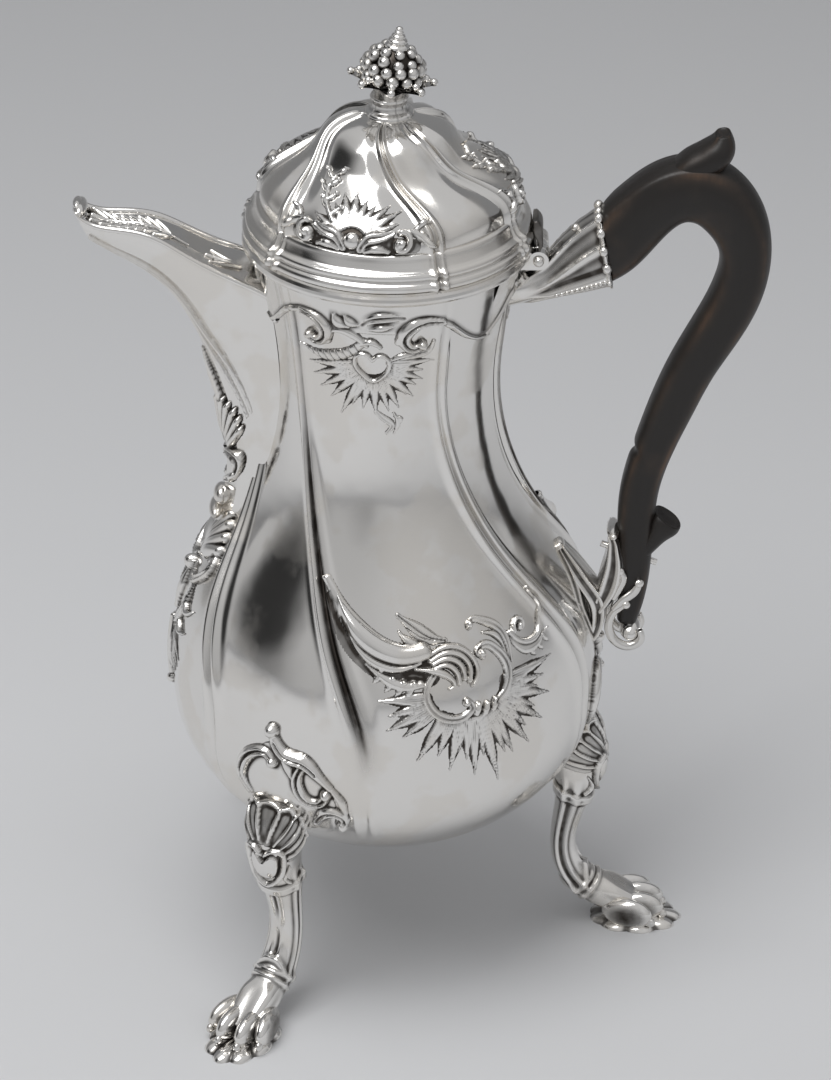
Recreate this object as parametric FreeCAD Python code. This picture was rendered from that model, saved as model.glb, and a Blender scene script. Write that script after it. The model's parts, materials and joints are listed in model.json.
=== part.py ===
import FreeCAD, Part
import math
import os

# A footed silver coffee pot: a pear-shaped body on three cast paw feet, a covered spout, a wooden handle
# held in two sockets, and a hinged domed lid with a berry finial.
# Millimetres. The origin is on the pot's axis, on the table. +X points to the handle, -X to the spout, +Z up.

# Body: the raised pear and its wall; each rise is measured from the point of the outline below it
wall = 1.2
belly_height = 91.5
belly_radius = 66.0
belly_drop = 47.5
pole_margin = 2.0
shoulder_rise = 40.5
shoulder_radius = 57.7
flank_rise = 18.0
flank_radius = 46.2
throat_rise = 16.0
throat_radius = 38.8
waist_rise = 31.0
waist_radius = 33.8
collar_rise = 28.0
collar_radius = 36.4
mouth_rise = 16.0
mouth_radius = 39.8
mouth_flare = 0.22

# Rim moulding on the mouth, and the lid's own moulding above it
rim_overhang = 3.7
rim_thickness = 4.5
lid_gap = 0.3
lid_rim_setback = 0.2
lid_band_height = 3.6
lid_cove_height = 6.2
lid_cove_share = 0.55
lid_cove_angle = 82.0
bezel_depth = 6.0
bezel_wall = 1.0
bezel_clearance = 0.7

# Dome of the lid: a low cushion that draws in to a bell
dome_wall = 1.0
dome_setback = 5.3
cushion_height = 3.6
shoulder_bend_rise = 10.6
shoulder_bend_radius = 31.2
bell_rise = 16.6
bell_radius = 22.6
crown_rise = 23.8
crown_radius = 18.0
dome_height = 28.1
dome_top_radius = 6.6
dome_flare = -4.0

# Lid hinge: five knuckles on one pin
hinge_offset = 1.1
hinge_drop = 0.8
knuckle_radius = 3.0
knuckle_length = 3.2
knuckle_gap = 0.15
pin_radius = 1.1
pin_clearance = 0.05
pin_head_radius = 1.7
hinge_clearance = 0.35
leaf_thickness = 2.0
leaf_height = 15.5
leaf_lean = 9.0

# Spout: sections from the tip to the belly, each as its top edge, its keel, and its width at the top.
# Their heights are measured from the mouth
spout_wall = 1.2
keel_wall = 1.8
spout_stations = [
    ((-91.8, 9.6), (-88.6, 0.0), 10.4),
    ((-83.0, 5.8), (-80.4, -4.8), 12.4),
    ((-72.5, 4.8), (-69.5, -12.0), 15.0),
    ((-62.0, 0.3), (-61.2, -21.4), 17.8),
    ((-50.5, -5.8), (-56.2, -33.5), 20.5),
    ((-38.0, -11.0), (-52.3, -46.5), 23.5),
    ((-27.0, -23.0), (-49.6, -59.0), 25.0),
    ((-20.0, -41.0), (-48.6, -71.0), 26.0),
    ((-16.0, -61.0), (-49.6, -84.0), 25.0),
    ((-16.0, -79.0), (-52.4, -95.0), 23.0),
    ((-18.0, -95.0), (-54.0, -107.0), 19.0),
]
spout_side = [(1.0, 0.0), (0.93, 0.32), (0.74, 0.62), (0.44, 0.88)]
spout_cover_dip = 1.2
covered_stations = 7
edge_wire_radius = 1.0
strainer_hole_radius = 2.0
strainer_rows = 4
strainer_columns = 3
strainer_pitch = 6.5
strainer_drop = 42.0

# Wooden handle: centre line in the XZ plane as x beyond the rim, z from the mouth, direction,
# half depth and half width
handle_stations = [
    (21.3, 1.4, 10.4, 11.4, 8.2),
    (23.8, 3.4, 22.0, 11.0, 8.2),
    (26.7, 6.6, 36.0, 10.4, 8.2),
    (33.1, 13.8, 43.0, 9.6, 8.2),
    (41.1, 19.2, 20.0, 9.6, 8.2),
    (50.0, 19.2, -20.0, 9.9, 8.2),
    (58.0, 12.2, -55.0, 9.2, 8.2),
    (62.2, 0.5, -86.0, 7.8, 8.0),
    (60.7, -12.0, -107.0, 7.7, 7.8),
    (54.7, -26.0, -116.0, 7.6, 7.5),
    (48.2, -38.5, -113.0, 7.2, 7.2),
    (42.9, -51.5, -109.0, 6.9, 6.8),
    (37.7, -66.5, -106.0, 6.2, 6.2),
    (34.1, -81.0, -98.0, 5.9, 5.8),
    (33.3, -95.0, -90.0, 5.6, 5.4),
    (33.5, -109.0, -91.0, 4.8, 4.8),
    (32.7, -121.0, -95.0, 4.0, 4.2),
    (31.7, -128.5, -99.0, 3.0, 3.4),
]
thumb_stations = [
    (42.5, 27.3, 15.0, 4.4, 6.4),
    (49.7, 30.3, 38.0, 4.8, 6.4),
    (53.7, 34.6, 72.0, 4.2, 5.4),
    (53.7, 38.6, 98.0, 2.0, 3.4),
]
spur_stations = [
    (37.0, -102.0, 58.0, 3.0, 4.2),
    (41.1, -95.6, 60.0, 3.2, 4.0),
    (43.1, -90.8, 78.0, 1.4, 2.2),
]

# Upper socket: a shell-shaped sleeve from the neck to the handle's tenon, placed as the handle is
socket_wall = 1.4
tenon_clearance = 0.08
upper_socket_stations = [
    (-10.5, -15.0, 20.0, 5.0, 5.4),
    (1.5, -10.7, 18.0, 5.5, 6.0),
    (10.7, -4.8, 20.0, 9.0, 7.6),
    (21.1, 1.4, 10.4, 12.1, 8.9),
]
tenon_root = (7.0, -7.2, 20.0, 5.4, 4.6)
tenon_overrun = 2.0
upper_pin_top = (11.9, 6.4)
upper_pin_end = (9.7, -14.6)

# Lower socket: a cradle on the belly that takes the handle's foot, placed as the handle is
lower_socket_lip = (25.5, -98.5)
lower_socket_front = (39.5, -122.0)
lower_socket_floor = (30.9, -132.6, -99.0, 2.6, 3.4)
volute_centre = (35.1, -130.6)
volute_radius = 4.0
volute_half_width = 4.4
arm_low = -136.2
arm_high = -120.5
arm_half_width = 4.2
lower_pin_inner = (22.9, -101.4)
lower_pin_outer = (40.1, -107.8)
socket_pin_radius = 1.0
socket_pin_clearance = 0.03
pin_bead_radius = 1.35

# Foot: cast in one with its leg, in the plane of its own angle, with x beyond the belly
leg_stations = [
    (0.0, 87.0, -88.0, 3.2, 6.0),
    (1.4, 74.0, -92.0, 5.0, 11.0),
    (-0.6, 60.5, -106.0, 7.0, 10.0),
    (-4.4, 48.5, -108.0, 6.2, 6.6),
    (-7.4, 38.0, -102.0, 4.7, 4.9),
    (-8.2, 28.0, -86.0, 4.2, 4.5),
    (-5.2, 18.8, -58.0, 4.9, 5.6),
    (1.0, 12.0, -35.0, 6.6, 7.6),
    (9.5, 8.4, -14.0, 7.4, 9.2),
    (18.0, 6.4, -8.0, 6.2, 8.8),
    (24.0, 4.6, -4.0, 3.4, 6.4),
]
toe_radius = 4.2
toe_places = [(22.0, -3.7), (22.0, 3.7), (16.0, -8.2), (16.0, 8.2)]
shell_middle = 15.5
shell_length = 30.0
shell_half_width = 11.6
shell_thickness = 1.8
shell_lobes = 9
shell_lobe_depth = 0.5

# Applied ornaments that stand on the body's skin: outlines as width from their middle and height above the belly
ornament_rise = 1.6
ornament_seat = 0.02
leg_plate_outline = [(0, 19.5), (7.0, 15.5), (10.5, 7.5), (17.5, -1.5), (18.5, -13.5), (12.0, -15.5), (0, -7.5)]
drop_outline = [(0, 60.5), (7.5, 54.5), (6.0, 42.5), (9.5, 30.5), (8.5, 18.5), (11.0, 8.5), (0, -5.5)]
leaf_outline = [(0, 39.5), (9.0, 44.5), (17.5, 52.0), (18.5, 48.5), (11.0, 35.5), (6.0, 20.5), (0, 11.5)]
drop_rise = 2.2

# Finial: a moulded collar, a leaf cup and a cluster of berries, leaning a little to the handle
collar_stack = 5.2
collar_moulding_radius = 5.4
finial_lean = 7.5
cup_height = 4.4
cup_radius = 8.6
leaf_count = 8
leaf_reach = 11.6
leaf_radius = 2.1
berry_radius = 1.9
berry_rows = [(7.6, 10.2, 14), (11.0, 8.9, 12), (14.2, 6.6, 9), (16.9, 3.9, 5)]
core_radius = 9.2
core_base = 3.6
core_height = 17.6
core_foot_share = 0.75
core_waist_share = 0.72
cup_stem_share = 0.8
cup_lip_share = 0.9
tip_height = 20.6
tip_ball_radius = 1.5
tip_foot_radius = 2.4
tip_neck_radius = 0.75
screw_radius = 1.5
screw_clearance = 0.05
nut_radius = 3.4
nut_thickness = 2.2

# Heights and radii that follow from these
base_height = belly_height - belly_drop
belly_depth = belly_drop + pole_margin
shoulder_height = belly_height + shoulder_rise
flank_height = shoulder_height + flank_rise
throat_height = flank_height + throat_rise
waist_height = throat_height + waist_rise
collar_height = waist_height + collar_rise
mouth_height = collar_height + mouth_rise
rim_radius = mouth_radius + rim_overhang
lid_rim_radius = rim_radius - lid_rim_setback
dome_radius = lid_rim_radius - dome_setback
hinge_x = rim_radius + hinge_offset
hinge_height = mouth_height - hinge_drop
strainer_height = mouth_height - strainer_drop

up = FreeCAD.Vector(0, 0, 1)
along_y = FreeCAD.Vector(0, 1, 0)
origin = FreeCAD.Vector(0, 0, 0)


def closed_wire(points, stations=None):
    """A smooth closed curve through points, at the given shares of its length where these are known."""
    curve = Part.BSplineCurve()
    if stations:
        curve.interpolate(Points=points, PeriodicFlag=True, Parameters=stations)
    else:
        curve.interpolate(Points=points, PeriodicFlag=True)
    return Part.Wire([curve.toShape()])


def loft(wires):
    return Part.makeLoft(wires, True, False)


def polygon_face(points):
    return Part.Face(Part.makePolygon(points + points[:1]))


def turned(outline):
    """Revolves an outline of radius and height about the pot's axis."""
    face = polygon_face([FreeCAD.Vector(radius, 0, height) for radius, height in outline])
    return face.revolve(origin, up, 360)


def arc_points(centre_radius, centre_height, radius, start, end, count=8):
    """Points of a round moulding, for an outline that is turned."""
    points = []
    for step in range(count + 1):
        angle = math.radians(start + (end - start) * step / count)
        points.append((centre_radius + radius * math.cos(angle), centre_height + radius * math.sin(angle)))
    return points


def rod(start, end, radius):
    """A round bar between two points of the XZ plane."""
    low = FreeCAD.Vector(start[0], 0, start[1])
    high = FreeCAD.Vector(end[0], 0, end[1])
    return Part.makeCylinder(radius, (high - low).Length, low, high - low)


def cross_bar(x, height, start, end, radius):
    """A round bar along Y."""
    return Part.makeCylinder(radius, end - start, FreeCAD.Vector(x, start, height), along_y)


def placed(points, x, z):
    """Points or stations moved to their place: their first two values are distances from x and z."""
    return [(point[0] + x, point[1] + z) + tuple(point[2:]) for point in points]


def oval(station, grow=0.0):
    """A closed oval across a path in the XZ plane: x, z, direction, half depth, half width."""
    x, z, direction, half_depth, half_width = station
    turn = math.radians(direction)
    count = 12
    points = []
    for step in range(count):
        angle = 2 * math.pi * step / count
        out = (half_depth + grow) * math.cos(angle)
        side = (half_width + grow) * math.sin(angle)
        points.append(FreeCAD.Vector(x - out * math.sin(turn), side, z + out * math.cos(turn)))
    return closed_wire(points, [step / count for step in range(count + 1)])


def oval_bar(stations, grow=0.0):
    return loft([oval(station, grow) for station in stations])


def outline_curve(outline, start=None, end=None):
    """A smooth outline through points of radius and height, with set directions at its ends."""
    curve = Part.BSplineCurve()
    points = [FreeCAD.Vector(radius, 0, height) for radius, height in outline]
    if start and end:
        curve.interpolate(Points=points, InitialTangent=start, FinalTangent=end)
    else:
        curve.interpolate(Points=points)
    return curve


def curve_radius(curve, height):
    """The radius of an outline at a height, found by halving."""
    low = curve.FirstParameter
    high = curve.LastParameter
    for _ in range(40):
        middle = (low + high) / 2
        if curve.value(middle).z < height:
            low = middle
        else:
            high = middle
    return curve.value(low).x


def turned_form(curves):
    """A solid turned from outline curves, closed by flat ends."""
    first = curves[0].value(curves[0].FirstParameter)
    last = curves[-1].value(curves[-1].LastParameter)
    low = FreeCAD.Vector(0, 0, first.z)
    high = FreeCAD.Vector(0, 0, last.z)
    edges = [Part.LineSegment(low, first).toShape()]
    edges += [curve.toShape() for curve in curves]
    edges.append(Part.LineSegment(last, high).toShape())
    edges.append(Part.LineSegment(high, low).toShape())
    return Part.Face(Part.Wire(edges)).revolve(origin, up, 360)


body_outline = [
    (belly_radius, belly_height),
    (shoulder_radius, shoulder_height),
    (flank_radius, flank_height),
    (throat_radius, throat_height),
    (waist_radius, waist_height),
    (collar_radius, collar_height),
    (mouth_radius, mouth_height),
]
mouth_slope = FreeCAD.Vector(mouth_flare, 0, 1)
body_curve = outline_curve(body_outline, up, mouth_slope)


def body_form(inset, floor, extra):
    """The pear set in (or out) from its outer face, from a flat floor to the mouth or a little above it."""
    depth = belly_depth - inset
    steps = 6
    start = math.acos((belly_height - floor) / depth)
    bowl = []
    for step in range(steps + 1):
        angle = start + (math.pi / 2 - start) * step / steps
        bowl.append(((belly_radius - inset) * math.sin(angle), belly_height - depth * math.cos(angle)))
    slope = FreeCAD.Vector((belly_radius - inset) * math.cos(start), 0, depth * math.sin(start))
    upper = [(radius - inset, height) for radius, height in body_outline]
    curves = [outline_curve(bowl, slope, up), outline_curve(upper, up, mouth_slope)]
    if extra:
        reach = upper[-1][0]
        curves.append(Part.LineSegment(FreeCAD.Vector(reach, 0, mouth_height),
                                       FreeCAD.Vector(reach + mouth_flare * extra, 0, mouth_height + extra)))
    return turned_form(curves)


def ornament(outline, rise, angle):
    """An applied plate: its half outline, mirrored, pressed on the body's skin at the given angle."""
    mirrored = [(-across, height) for across, height in reversed(outline[1:-1])]
    points = [FreeCAD.Vector(0, across, belly_height + height) for across, height in outline + mirrored]
    face = polygon_face(points)
    blank = face.extrude(FreeCAD.Vector(2 * belly_radius, 0, 0))
    blank = blank.rotated(origin, up, angle)
    skin = body_form(-rise, base_height - rise, 0.0)
    seat = body_form(-ornament_seat, base_height - ornament_seat, 0.0)
    return blank.common(skin).cut(seat)


# Body shell, with the strainer holes behind the spout
body_solid = body_form(0.0, base_height, 0.0)
body_hollow = body_form(wall, base_height + wall, 2 * wall)
body_shell = body_solid.cut(body_hollow)
for row in range(strainer_rows):
    for column in range(strainer_columns):
        across = (column - (strainer_columns - 1) / 2) * strainer_pitch
        height = strainer_height + row * strainer_pitch
        mouth = FreeCAD.Vector(-2 * waist_radius, across, height)
        body_shell = body_shell.cut(Part.makeCylinder(strainer_hole_radius, 2 * waist_radius,
                                                      mouth, FreeCAD.Vector(1, 0, 0)))

# Hinge line: the knuckles share it, and the mouldings are cut back round it
knuckle_pitch = knuckle_length + knuckle_gap
hinge_half = 2.5 * knuckle_pitch
knuckle_starts = [index * knuckle_pitch - hinge_half + knuckle_gap / 2 for index in range(5)]


def knuckles(indexes, radius=knuckle_radius, extra=0.0):
    bars = []
    for index in indexes:
        start = knuckle_starts[index]
        bars.append(cross_bar(hinge_x, hinge_height, start - extra, start + knuckle_length + extra, radius))
    return bars[0].multiFuse(bars[1:])


pin_hole = cross_bar(hinge_x, hinge_height, -2 * hinge_half, 2 * hinge_half, pin_radius + pin_clearance)
hinge_room = cross_bar(hinge_x, hinge_height, -hinge_half - hinge_clearance, hinge_half + hinge_clearance,
                       knuckle_radius + hinge_clearance)
rim_top = mouth_height + rim_thickness
rim_inner = mouth_radius - wall
rim_edge = rim_thickness / 2

# Rim moulding: a ring that stands on the mouth, with a round outer edge
rim_moulding = turned([(rim_inner, mouth_height)]
                      + arc_points(rim_radius - rim_edge, mouth_height + rim_edge, rim_edge, -90, 90)
                      + [(rim_inner, rim_top)]).cut(hinge_room)

# Lid: moulding, bezel and dome
lid_base = rim_top + lid_gap
band_top = lid_base + lid_band_height
dome_base = band_top + lid_cove_height
band_edge = lid_band_height / 2
bezel_radius = curve_radius(body_curve, mouth_height - bezel_depth) - wall - bezel_clearance
bezel_inner = bezel_radius - bezel_wall
lid_inner = dome_radius - dome_wall
cove_radius = lid_cove_height * lid_cove_share
cove = arc_points(dome_radius + cove_radius, dome_base, cove_radius, 180 + lid_cove_angle, 180)
lid_rim = turned([(bezel_inner, lid_base)]
                 + arc_points(lid_rim_radius - band_edge, lid_base + band_edge, band_edge, -90, 90)
                 + [(cove[0][0], band_top)]
                 + cove
                 + [(lid_inner, dome_base), (lid_inner, band_top), (bezel_inner, band_top)])
lid_bezel = turned([
    (bezel_inner, mouth_height - bezel_depth),
    (bezel_radius, mouth_height - bezel_depth),
    (bezel_radius, lid_base),
    (bezel_inner, lid_base),
])
dome_outline = [
    (dome_radius, dome_base),
    (dome_radius, dome_base + cushion_height),
    (shoulder_bend_radius, dome_base + shoulder_bend_rise),
    (bell_radius, dome_base + bell_rise),
    (crown_radius, dome_base + crown_rise),
    (dome_top_radius, dome_base + dome_height),
]
dome_slope = FreeCAD.Vector(dome_flare, 0, 1)
dome_solid = turned_form([outline_curve(dome_outline, up, dome_slope)])
dome_inside = [(radius - dome_wall, height - dome_wall) for radius, height in dome_outline[1:]]
dome_inside = [(dome_radius - dome_wall, dome_base - dome_wall)] + dome_inside
dome_hollow = turned_form([outline_curve(dome_inside, up, dome_slope)])
collar_base = dome_base + dome_height
screw_hole = Part.makeCylinder(screw_radius + screw_clearance, 3 * collar_stack,
                               FreeCAD.Vector(0, 0, collar_base - 2 * collar_stack))
lid_dome = dome_solid.cut(dome_hollow).cut(screw_hole)

# Hinge plates and pin
body_knuckles = knuckles((0, 2, 4))
lid_knuckles = knuckles((1, 3))
lid_knuckle_room = knuckles((1, 3), knuckle_radius + hinge_clearance, knuckle_gap / 2)
body_knuckle_room = knuckles((0, 2, 4), knuckle_radius + hinge_clearance, knuckle_gap / 2)
bracket_depth = hinge_x - waist_radius
bracket = Part.makeBox(bracket_depth, 2 * hinge_half - knuckle_gap, knuckle_radius,
                       FreeCAD.Vector(waist_radius, -hinge_half + knuckle_gap / 2, hinge_height - knuckle_radius))
body_hinge_plate = bracket.cut(lid_knuckle_room).fuse(body_knuckles).cut(body_solid).cut(pin_hole)
leaf_width = 2 * hinge_half - knuckle_gap - 2 * knuckle_pitch + 2 * knuckle_gap
leaf_face = rim_radius + hinge_clearance
leaf_blank = Part.makeBox(leaf_thickness, leaf_width, leaf_height,
                          FreeCAD.Vector(leaf_face, -leaf_width / 2, hinge_height))
leaf_seat = Part.makeBox(leaf_thickness + rim_radius - dome_radius, leaf_width, leaf_height - rim_thickness,
                         FreeCAD.Vector(dome_radius, -leaf_width / 2, lid_base))
leaf_slope = Part.makeBox(2 * leaf_height, 4 * hinge_half, 2 * leaf_height,
                          FreeCAD.Vector(leaf_face + leaf_thickness, -2 * hinge_half, hinge_height))
leaf_slope = leaf_slope.rotated(FreeCAD.Vector(leaf_face + leaf_thickness, 0, lid_base), along_y, -leaf_lean)
lid_body = lid_rim.fuse(dome_solid)
leaf_plate = leaf_blank.fuse(leaf_seat).cut(leaf_slope).cut(lid_body)
lid_hinge_plate = leaf_plate.cut(body_knuckle_room).fuse(lid_knuckles).cut(pin_hole)
pin_half = hinge_half + knuckle_gap
hinge_pin = cross_bar(hinge_x, hinge_height, -pin_half, pin_half, pin_radius)
for side in (-1, 1):
    head = Part.makeSphere(pin_head_radius, FreeCAD.Vector(hinge_x, side * pin_half, hinge_height))
    keep = cross_bar(hinge_x, hinge_height, min(side * pin_half, side * 2 * pin_half),
                     max(side * pin_half, side * 2 * pin_half), 2 * pin_head_radius)
    hinge_pin = hinge_pin.fuse(head.common(keep))


# Spout: a trough with a rounded keel, closed by a dished cover
def spout_frame(station):
    """The middle of a section's top edge, the way down to its keel, and its depth."""
    (top_x, top_z), (keel_x, keel_z), width = station
    down = FreeCAD.Vector(keel_x - top_x, 0, keel_z - top_z)
    depth = down.Length
    down.normalize()
    return FreeCAD.Vector(top_x, 0, top_z), down, depth, width / 2


def across_spout(station, corners):
    """A closed outline in a section's plane, from widths and depths below its top edge."""
    top, down, _, _ = spout_frame(station)
    return Part.makePolygon([top + along_y * across + down * below for across, below in corners + corners[:1]])


def spout_wire(station, inset):
    _, _, depth, half = spout_frame(station)
    keel_depth = depth - inset * keel_wall / spout_wall
    side = [((half - inset) * across, inset + (keel_depth - inset) * below) for across, below in spout_side]
    keel = [(0.0, keel_depth)]
    far_side = [(-across, below) for across, below in reversed(side)]
    return across_spout(station, [(0.0, spout_cover_dip + inset)] + side + keel + far_side)


def spout_tip_beyond(station):
    """A section like the tip's, one wall further out, so that the channel runs through the tip."""
    (top_x, top_z), (keel_x, keel_z), width = station
    return ((top_x - 2 * spout_wall, top_z), (keel_x - 2 * spout_wall, keel_z), width)


spout_places = []
for (top_x, top_z), (keel_x, keel_z), width in spout_stations:
    spout_places.append(((top_x, mouth_height + top_z), (keel_x, mouth_height + keel_z), width))
spout_outer = loft([spout_wire(station, 0.0) for station in spout_places]).cut(body_solid)
channel_stations = [spout_tip_beyond(spout_places[0])] + spout_places
spout_channel = loft([spout_wire(station, spout_wall) for station in channel_stations])
spout_shell = spout_outer.cut(spout_channel)


def cover_wire(station):
    """The zone of the cover: everything down to its underside, wider than the spout."""
    _, _, _, half = spout_frame(station)
    low = spout_cover_dip + 2 * spout_wall
    return across_spout(station, [(2 * half, -half), (2 * half, low), (-2 * half, low), (-2 * half, -half)])


def edge_wire(side):
    """A round wire along one upper edge of the spout."""
    rings = []
    for station in spout_places[:covered_stations]:
        (top_x, top_z), (keel_x, keel_z), width = station
        heading = math.degrees(math.atan2(keel_z - top_z, keel_x - top_x)) + 90
        rings.append(oval((top_x, top_z, heading, edge_wire_radius, edge_wire_radius)))
        rings[-1].translate(along_y * (side * width / 2))
    return loft(rings).cut(body_solid)


edge_wires = [edge_wire(-1), edge_wire(1)]
cover_zone = loft([cover_wire(station) for station in spout_places[:covered_stations]])
spout_cover = spout_shell.common(cover_zone).cut(edge_wires[0]).cut(edge_wires[1])
spout = spout_shell.cut(cover_zone).cut(edge_wires[0]).cut(edge_wires[1])
spout_edge_wires = Part.makeCompound(edge_wires)
spout_drop = ornament(drop_outline, drop_rise, 180).cut(spout_outer)

# Handle: the grip, its thumb scroll and spur, and the tenon in the upper socket
grip_places = placed(handle_stations, rim_radius, mouth_height)
handle_grip = oval_bar(grip_places)
thumb_scroll = oval_bar(placed(thumb_stations, rim_radius, mouth_height))
spur = oval_bar(placed(spur_stations, rim_radius, mouth_height))
socket_places = placed(upper_socket_stations, rim_radius, mouth_height)
mouth_x, mouth_z, mouth_direction, mouth_depth, mouth_width = socket_places[-1]
tenon_turn = math.radians(mouth_direction)
tenon_end = (mouth_x + tenon_overrun * math.cos(tenon_turn), mouth_z + tenon_overrun * math.sin(tenon_turn),
             mouth_direction, mouth_depth - socket_wall, mouth_width - socket_wall)
tenon_stations = placed([tenon_root], rim_radius, mouth_height) + [tenon_end]
tenon = oval_bar(tenon_stations, -tenon_clearance)
upper_pin_ends = placed([upper_pin_top, upper_pin_end], rim_radius, mouth_height)
lower_pin_ends = placed([lower_pin_inner, lower_pin_outer], rim_radius, mouth_height)
upper_pin = rod(*upper_pin_ends, socket_pin_radius)
upper_pin_hole = rod(*upper_pin_ends, socket_pin_radius + socket_pin_clearance)
lower_pin = rod(*lower_pin_ends, socket_pin_radius)
lower_pin_hole = rod(*lower_pin_ends, socket_pin_radius + socket_pin_clearance)
handle = handle_grip.multiFuse([tenon, thumb_scroll, spur])
handle = handle.cut(upper_pin_hole).cut(lower_pin_hole)

# Upper socket, its pin with a bead head, and the root on the neck
pin_bead = Part.makeSphere(pin_bead_radius, FreeCAD.Vector(upper_pin_ends[0][0], 0, upper_pin_ends[0][1]))
socket_bore = oval_bar(tenon_stations)
upper_socket = oval_bar(socket_places).cut(body_solid).cut(socket_bore).cut(upper_pin_hole)
upper_socket = upper_socket.cut(body_hinge_plate).cut(hinge_room).cut(pin_bead)
upper_socket_pin = upper_pin.fuse(pin_bead)

# Lower socket: a sleeve round the handle's foot, cut slanting, with a volute and an arm to the belly
floor_place = placed([lower_socket_floor], rim_radius, mouth_height)
sleeve = oval_bar(grip_places[-4:] + floor_place, socket_wall)
lip_and_front = placed([lower_socket_lip, lower_socket_front], rim_radius, mouth_height)
(lip_x, lip_z), (front_x, front_z) = lip_and_front
slant = math.degrees(math.atan2(lip_z - front_z, front_x - lip_x))
slant_room = Part.makeBox(8 * volute_radius, 8 * volute_radius, 12 * volute_radius,
                          FreeCAD.Vector(-2 * volute_radius, -4 * volute_radius, 0))
slant_room = slant_room.rotated(origin, along_y, slant).translated(FreeCAD.Vector(lip_x, 0, lip_z))
[(volute_x, volute_z)] = placed([volute_centre], rim_radius, mouth_height)
volute = cross_bar(volute_x, volute_z, -volute_half_width, volute_half_width, volute_radius)
arm = Part.makeBox(volute_x - shoulder_radius - volute_radius, 2 * arm_half_width, arm_high - arm_low,
                   FreeCAD.Vector(shoulder_radius, -arm_half_width, mouth_height + arm_low))
lower_socket = sleeve.cut(slant_room).multiFuse([volute, arm]).cut(body_solid)
lower_socket = lower_socket.cut(oval_bar(grip_places[-5:], tenon_clearance)).cut(lower_pin_hole)
lower_socket_plate = ornament(leaf_outline, ornament_rise, 0).cut(lower_socket)

# Foot: a cabriole leg that ends in a paw on a small shell
leg_blank = oval_bar(placed(leg_stations, belly_radius, 0.0))
toes = [Part.makeSphere(toe_radius, FreeCAD.Vector(belly_radius + x, y, toe_radius)) for x, y in toe_places]
shell_points = []
shell_steps = 8 * shell_lobes
for step in range(shell_steps):
    angle = 2 * math.pi * step / shell_steps
    lobe = 1 + shell_lobe_depth / shell_half_width * math.cos(2 * shell_lobes * angle)
    reach = shell_length / 2 * lobe
    shell_points.append(FreeCAD.Vector(belly_radius + shell_middle + reach * math.cos(angle),
                                       shell_half_width * lobe * math.sin(angle), 0))
shell = Part.Face(closed_wire(shell_points)).extrude(FreeCAD.Vector(0, 0, shell_thickness))
table_size = 2 * (belly_radius + shell_length)
table = Part.makeBox(table_size, table_size, belly_height, FreeCAD.Vector(0, -table_size / 2, -belly_height))
leg_form = leg_blank.multiFuse(toes + [shell]).cut(table)
leg_angles = {"rear": 0.0, "left": -120.0, "right": 120.0}
legs = {}
leg_plates = {}
for side, angle in leg_angles.items():
    legs[side] = leg_form.rotated(origin, up, angle).cut(body_solid)
    plate = ornament(leg_plate_outline, ornament_rise, angle)
    leg_plates[side] = plate.cut(legs[side]).cut(lower_socket).cut(lower_socket_plate)

# Finial, upright first and then leaned about the top of its collar
collar_top = collar_base + collar_stack
ring_radius = collar_stack / 4
finial_collar = turned([(0, collar_base)]
                       + arc_points(collar_moulding_radius, collar_base + ring_radius, ring_radius, -90, 90)
                       + arc_points(collar_moulding_radius, collar_top - ring_radius, ring_radius, -90, 90)
                       + [(0, collar_top)]).cut(screw_hole)


def leaned(shape):
    pivot = FreeCAD.Vector(0, 0, collar_top)
    return shape.rotated(pivot, along_y, finial_lean)


above_collar = Part.makeBox(4 * leaf_reach, 4 * leaf_reach, 4 * leaf_reach,
                            FreeCAD.Vector(-2 * leaf_reach, -2 * leaf_reach, collar_top))
core_bottom = collar_top + core_base
core = turned([(0, core_bottom), (core_radius * core_foot_share, core_bottom), (core_radius, core_bottom + cup_height),
               (core_radius * core_waist_share, core_bottom + core_height / 2), (tip_ball_radius, collar_top + core_height),
               (0, collar_top + core_height)])
cup = turned([(0, collar_top - cup_height), (collar_moulding_radius, collar_top - cup_height),
              (collar_moulding_radius * cup_stem_share, collar_top), (cup_radius, collar_top + cup_height),
              (cup_radius * cup_lip_share, collar_top + cup_height + berry_radius), (0, collar_top + cup_height)])
leaves = []
for index in range(leaf_count):
    angle = 2 * math.pi * index / leaf_count
    reach = leaf_reach - leaf_radius
    blade = Part.makeCone(2 * leaf_radius, leaf_radius / 2, reach - cup_radius / 2,
                          FreeCAD.Vector(cup_radius / 2, 0, collar_top + cup_height), FreeCAD.Vector(1, 0, 0.1))
    leaves.append(blade.rotated(origin, up, math.degrees(angle)))
finial_leaves = cup.multiFuse(leaves)
berries = []
for rise, ring, count in berry_rows:
    for index in range(count):
        angle = 2 * math.pi * (index + rise) / count
        place = FreeCAD.Vector(ring * math.cos(angle), ring * math.sin(angle), collar_top + rise)
        berries.append(Part.makeSphere(berry_radius, place))
tip = Part.makeCone(tip_foot_radius, tip_neck_radius, tip_height - core_height + berry_radius,
                    FreeCAD.Vector(0, 0, collar_top + core_height - berry_radius))
tip_ball = Part.makeSphere(tip_ball_radius, FreeCAD.Vector(0, 0, collar_top + tip_height))
finial_cluster = core.multiFuse(berries + [tip, tip_ball])
finial_leaves = leaned(finial_leaves.cut(finial_cluster)).common(above_collar)
finial_cluster = leaned(finial_cluster)
nut_seat = collar_base - dome_wall
finial_screw = Part.makeCylinder(screw_radius, collar_stack + nut_thickness,
                                 FreeCAD.Vector(0, 0, nut_seat - nut_thickness))
nut_points = []
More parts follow.
